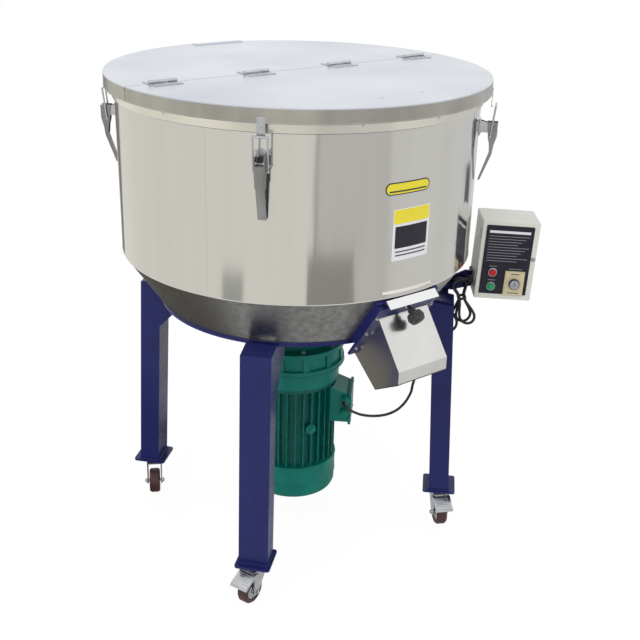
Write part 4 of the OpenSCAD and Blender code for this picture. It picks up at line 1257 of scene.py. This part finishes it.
@dataclass
class ControlBox:
    """Panel, buttons, timer face, hinge and lock of the control box."""

    width: float = 0.155
    height: float = 0.224
    panel_low: float = 0.001
    rows: int = 10
    row_pitch: float = 0.0079
    stop: tuple[float, float] = (-0.036, -0.034)
    start: tuple[float, float] = (-0.036, -0.075)
    timer: tuple[float, float] = (0.026, -0.062)

    def build(self) -> None:
        """Makes and dresses the control box's small pieces."""
        at = LAYOUT.box
        self._panel(at)
        self._buttons(at)
        self._timer(at)
        hinges = Shaper(at)
        for up in (0.072, -0.048):
            hinges.turning([(0.0030, up - 0.014), (0.0030, up + 0.014)],
                           shift(-self.width / 2 - 0.0012, 0, -0.0163) @ spin(-90, "X"), 14)
        place(hinges.done("box_hinge_barrels"), MACHINE, ZINC)
        lock = Shaper(at @ shift(0.0705, 0.010, 0))
        lock.turning([(0.0062, 0), (0.0062, 0.0015), (0.0050, 0.0028)], None, 24)
        lock.block((0, 0, 0.0030), (0.0012, 0.0062, 0.0012))
        place(lock.done("box_lock"), "box_door", ZINC)
        seal = Shaper(at)
        half_wide, half_tall, bead = self.width / 2 - 0.004, self.height / 2 - 0.004, 0.003
        for side in (-1, 1):
            seal.block((side * half_wide, 0, -0.0163), (bead, 2 * half_tall + bead, 0.0006))
            seal.block((0, side * half_tall, -0.0163), (2 * half_wide - bead, bead, 0.0006))
        place(seal.done("box_seal", smooth=False), MACHINE, BLACK)
        gland = Shaper(at @ shift(-0.0855, -0.075, -0.0486) @ spin(-90, "Y"))
        gland.turning([(0.0105, -0.0065), (0.0105, -0.0015), (0.009, 0)], None, 6)
        gland.turning([(0.0085, 0), (0.0078, 0.004), (0.0056, 0.007)], None, 20)
        place(gland.done("box_gland_nut", bevel=0.0004), MACHINE, BLACK)

    def _panel(self, at: Matrix) -> None:
        """Makes the panel's head, its title bar and its ruled lines, plain marks where words would be."""
        head = Shaper(at)
        head.plate([(x - 0.002, y + 0.0945) for x, y in rounded_outline(0.131, 0.014, 0.004)], 0, 0.0012)
        place(head.done("panel_head", smooth=False), "box_door", PANEL)
        low, high = self.panel_low, self.panel_low + 0.0004
        middle, thick = (low + high) / 2, high - low
        title = Shaper(at).block((-0.002, 0.0835, middle + 0.0001), (0.112, 0.0072, thick))
        place(title.done("panel_title", smooth=False), "box_door", WHITE)
        face = Shaper(at)
        for row in range(self.rows):
            long = 0.112 - 0.010 * ((row * 5) % 4) - (0.018 if row == self.rows - 1 else 0)
            face.block((-0.058 + long / 2, 0.071 - self.row_pitch * row, middle), (long, 0.0014, thick))
        for x, y, wide in ((-0.036, -0.0160, 0.020), (-0.036, -0.0565, 0.020), (0.026, -0.0215, 0.036)):
            face.block((x, y, middle), (wide, 0.0016, thick))
        place(face.done("panel_rules", smooth=False), "box_door", PRINT)

    def _buttons(self, at: Matrix) -> None:
        """Makes the buttons' bright bezels and domed caps."""
        bezels = Shaper(at)
        for spot in (self.stop, self.start):
            where = shift(spot[0], spot[1], self.panel_low)
            self._ring(bezels, where, 0.0094, 0.0128, 0.0030)
        place(bezels.done("button_bezels", bevel=0.0003), "box_door", ZINC)
        for name, spot, finish in (("stop", self.stop, RED), ("start", self.start, GREEN)):
            cap = Shaper(at @ shift(spot[0], spot[1], 0.008))
            cap.turning([(0.0086, -0.002), (0.0086, 0.0002), (0.0078, 0.0012), (0.0050, 0.0019), (0.0018, 0.0022)],
                        None, 32)
            place(cap.done(f"{name}_button_cap"), f"{name}_button", finish)

    @staticmethod
    def _ring(shaper: Shaper, where: Matrix, inner: float, outer: float, height: float, sides: int = 40) -> None:
        """Adds a flat ring with a chamfered outer edge.

        Args:
            shaper: where it is collected.
            where: the ring's frame.
            inner: its inner radius.
            outer: its outer radius.
            height: its height.
            sides: the number of segments.
        """
        profile = [(inner, 0), (outer, 0), (outer, height * 0.55), (outer - 0.0012, height), (inner, height)]
        count = len(profile)
        points = [Vector((r * math.cos(2 * math.pi * k / sides), r * math.sin(2 * math.pi * k / sides), z))
                  for k in range(sides) for r, z in profile]
        faces = [(k * count + j, k * count + (j + 1) % count, ((k + 1) % sides) * count + (j + 1) % count,
                  ((k + 1) % sides) * count + j) for k in range(sides) for j in range(count)]
        shaper.add(points, faces, where)

    def _timer(self, at: Matrix) -> None:
        """Makes the timer's raised face, its scale and its pointer."""
        plate_top = 0.006
        face = Shaper(at @ shift(self.timer[0], self.timer[1], 0))
        face.plate(rounded_outline(0.048, 0.064, 0.003), plate_top, plate_top + 0.0012)
        place(face.done("timer_face", bevel=0.0005), "box_door", CREAM)
        marks = Shaper(at @ shift(self.timer[0], self.timer[1] - 0.0, plate_top + 0.0012))
        for k in range(13):
            angle = 240 - k * 25
            long = 0.0034 if k % 3 == 0 else 0.0022
            marks.block((0.0185 + long / 2, 0, 0.00015), (long, 0.0006, 0.0003), spin(angle, "Z"))
        marks.block((0, 0.0275, 0.00015), (0.024, 0.0022, 0.0003))
        marks.block((0, -0.0275, 0.00015), (0.030, 0.0022, 0.0003))
        place(marks.done("timer_scale", smooth=False), "box_door", INK)
        dial = Shaper(at @ shift(self.timer[0], self.timer[1], 0.0153))
        dial.turning([(0.0122, -0.0004), (0.0122, 0.0008), (0.0112, 0.0016), (0.0030, 0.0018)], None, 36)
        place(dial.done("timer_dial_cap"), "timer_dial", DIAL_CAP)
        grip = Shaper(at @ shift(self.timer[0], self.timer[1], 0.0066))
        for k in range(20):
            grip.block((0.0142, 0, 0.0046), (0.0018, 0.0016, 0.0078), spin(18 * k, "Z"))
        grip.block((0, 0.0062, 0.0108), (0.0014, 0.0105, 0.0012))
        place(grip.done("timer_dial_grip", bevel=0.0003), "timer_dial", DIAL)


@dataclass(frozen=True)
class Lamp:
    """A soft square lamp that looks at the middle of the machine."""

    name: str
    spot: Point
    power: float
    side: float
    colour: Colour
    glossy: bool
    aim: Point = (0.0, 0.0, 0.8)

    def build(self) -> None:
        """Makes the lamp."""
        light = bpy.data.lights.new(self.name, "AREA")
        light.energy, light.size, light.color = self.power, self.side, self.colour
        lamp = bpy.data.objects.new(self.name, light)
        lamp.location = self.spot
        lamp.rotation_euler = (Vector(self.aim) - Vector(self.spot)).to_track_quat("-Z", "Y").to_euler()
        lamp.visible_glossy = self.glossy
        bpy.context.scene.collection.objects.link(lamp)


@dataclass(frozen=True)
class Card:
    """A coloured sheet round the machine that only its polished steel mirrors."""

    name: str
    start: float
    end: float
    near: float
    far: float
    colour: Colour
    lift: float = 0.0
    step: float = 3.0

    def build(self, slope: float) -> bpy.types.Object:
        """Makes the card as part of a shallow dish.

        Args:
            slope: rise of the dish per metre of radius.

        Returns:
            The card, which neither the camera nor the diffuse light sees.
        """
        count = max(1, round((self.end - self.start) / self.step))
        turns = [math.radians(self.start + (self.end - self.start) * k / count) for k in range(count + 1)]
        points = [(r * math.sin(a), -r * math.cos(a), 0.01 + self.lift + slope * (r - 1.0))
                  for a in turns for r in (self.near, self.far)]
        faces = [(2 * k, 2 * k + 1, 2 * k + 3, 2 * k + 2) for k in range(count)]
        mesh = bpy.data.meshes.new(self.name)
        mesh.from_pydata(points, [], faces)
        card = bpy.data.objects.new(self.name, mesh)
        paint = bpy.data.materials.new(self.name)
        paint.use_nodes = True
        tree = paint.node_tree
        tree.nodes.remove(tree.nodes["Principled BSDF"])
        glow = tree.nodes.new("ShaderNodeEmission")
        glow.inputs["Color"].default_value = (*self.colour, 1)
        tree.links.new(glow.outputs[0], tree.nodes["Material Output"].inputs["Surface"])
        mesh.materials.append(paint)
        card.visible_camera = card.visible_diffuse = card.visible_shadow = card.visible_transmission = False
        bpy.context.scene.collection.objects.link(card)
        return card


@dataclass
class Studio:
    """The camera at the photograph's viewing angle, the floor, the lamps and the world."""

    position: Point = (-1.572, -2.142, 1.786)
    turn: float = -36.275
    yaw: float = 1.551
    pitch: float = 23.557
    roll: float = 1.534
    lens: float = 56.61
    sensor: float = 36.0
    floor_size: float = 40.0
    floor_glow: float = 1.04
    ambient: float = 0.72
    card_slope: float = 0.16
    lamps: tuple[Lamp, ...] = (
        Lamp("key lamp", (-2.6, -1.4, 3.2), 46.0, 1.8, (1.0, 0.98, 0.95), glossy=False),
        Lamp("fill lamp", (2.4, -2.6, 2.6), 26.0, 2.2, (0.96, 0.98, 1.0), glossy=False),
        Lamp("back lamp", (0.6, 3.0, 3.0), 20.0, 2.0, (1.0, 1.0, 1.0), glossy=False),
    )
    cards: tuple[Card, ...] = (
        Card("warm card", -176, -26, 1.3, 5.0, (0.84, 0.83, 0.76)),
        Card("grey card", -24, 18, 1.3, 5.0, (0.63, 0.625, 0.595)),
        Card("pale card", 18, 84, 1.3, 5.0, (0.74, 0.735, 0.71)),
        Card("cool card", 84, 172, 1.3, 5.0, (0.70, 0.71, 0.71)),
        Card("edge card", -26, -24, 1.3, 5.0, (0.42, 0.41, 0.38)),
        Card("dark card", 172, 184, 1.3, 5.0, (0.22, 0.2, 0.17)),
        Card("leg card", -78, -66, 1.3, 2.3, (0.42, 0.42, 0.40), 0.01),
        Card("bench card", -30, -4, 1.3, 2.5, (0.33, 0.32, 0.30), 0.01),
        Card("door card", 88, 98, 2.2, 3.2, (0.12, 0.12, 0.14), 0.01),
        Card("floor card", -190, -96, 0.4, 1.4, (0.17, 0.158, 0.135), 0.085),
    )

    def build(self) -> None:
        """Makes the camera, the floor, the lamps and the world."""
        self._camera()
        self._floor()
        self._world()
        for lamp in self.lamps:
            lamp.build()
        for card in self.cards:
            card.build(self.card_slope)

    def _camera(self) -> None:
        """Makes the scene's camera from its place and its three angles."""
        data = bpy.data.cameras.new("camera")
        data.lens, data.sensor_width = self.lens, self.sensor
        data.clip_start, data.clip_end = 0.05, 100.0
        camera = bpy.data.objects.new("camera", data)
        level = Matrix.Rotation(math.radians(self.turn - self.yaw), 4, "Z")
        tilt = Matrix.Rotation(math.radians(90 - self.pitch), 4, "X")
        roll = Matrix.Rotation(math.radians(self.roll), 4, "Z")
        camera.matrix_world = Matrix.Translation(self.position) @ level @ tilt @ roll
        bpy.context.scene.collection.objects.link(camera)
        bpy.context.scene.camera = camera

    def _floor(self) -> None:
        """Makes a pale floor that shows white to the camera and keeps the object's shadow."""
        half = self.floor_size / 2
        mesh = bpy.data.meshes.new("floor")
        mesh.from_pydata([(-half, -half, 0), (half, -half, 0), (half, half, 0), (-half, half, 0)], [], [(0, 1, 2, 3)])
        floor = bpy.data.objects.new("floor", mesh)
        bpy.context.scene.collection.objects.link(floor)
        paint = bpy.data.materials.new("floor paint")
        paint.use_nodes = True
        tree = paint.node_tree
        shader = tree.nodes["Principled BSDF"]
        shader.inputs["Base Color"].default_value = (0.86, 0.86, 0.86, 1)
        shader.inputs["Roughness"].default_value = 0.9
        glow = tree.nodes.new("ShaderNodeEmission")
        glow.inputs["Color"].default_value = (1, 1, 1, 1)
        glow.inputs["Strength"].default_value = self.floor_glow
        path = tree.nodes.new("ShaderNodeLightPath")
        share = tree.nodes.new("ShaderNodeMath")
        share.operation = "MULTIPLY"
        share.inputs[1].default_value = 0.9
        tree.links.new(path.outputs["Is Camera Ray"], share.inputs[0])
        mix = tree.nodes.new("ShaderNodeMixShader")
        tree.links.new(share.outputs[0], mix.inputs[0])
        tree.links.new(shader.outputs[0], mix.inputs[1])
        tree.links.new(glow.outputs[0], mix.inputs[2])
        tree.links.new(mix.outputs[0], tree.nodes["Material Output"].inputs["Surface"])
        mesh.materials.append(paint)

    def _world(self) -> None:
        """Makes a world that is white to camera, gloss and glass, and plain for the rest."""
        world = bpy.data.worlds.new("studio")
        bpy.context.scene.world = world
        world.use_nodes = True
        tree = world.node_tree
        background = tree.nodes["Background"]
        background.inputs["Color"].default_value = (1, 1, 1, 1)
        path = tree.nodes.new("ShaderNodeLightPath")
        seen = tree.nodes.new("ShaderNodeMath")
        seen.operation = "MAXIMUM"
        tree.links.new(path.outputs["Is Camera Ray"], seen.inputs[0])
        tree.links.new(path.outputs["Is Glossy Ray"], seen.inputs[1])
        through = tree.nodes.new("ShaderNodeMath")
        through.operation = "MAXIMUM"
        tree.links.new(seen.outputs[0], through.inputs[0])
        tree.links.new(path.outputs["Is Transmission Ray"], through.inputs[1])
        level = tree.nodes.new("ShaderNodeMapRange")
        level.inputs["To Min"].default_value = self.ambient
        level.inputs["To Max"].default_value = 1.0
        tree.links.new(through.outputs[0], level.inputs["Value"])
        tree.links.new(level.outputs[0], background.inputs["Strength"])
        bpy.context.scene.view_settings.view_transform = "Standard"


def main() -> None:
    """Builds the scene in order: studio, frame, pieces."""
    logging.basicConfig(level=logging.INFO, format="%(message)s")
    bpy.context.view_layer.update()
    Studio().build()
    Cable().build()
    dress_frame()
    for part in (Tub(), Lid(), Latches(), LegDress(), Casters(), Drive(), Outlet(), ControlBox()):
        part.build()


if __name__ == "__main__":
    main()
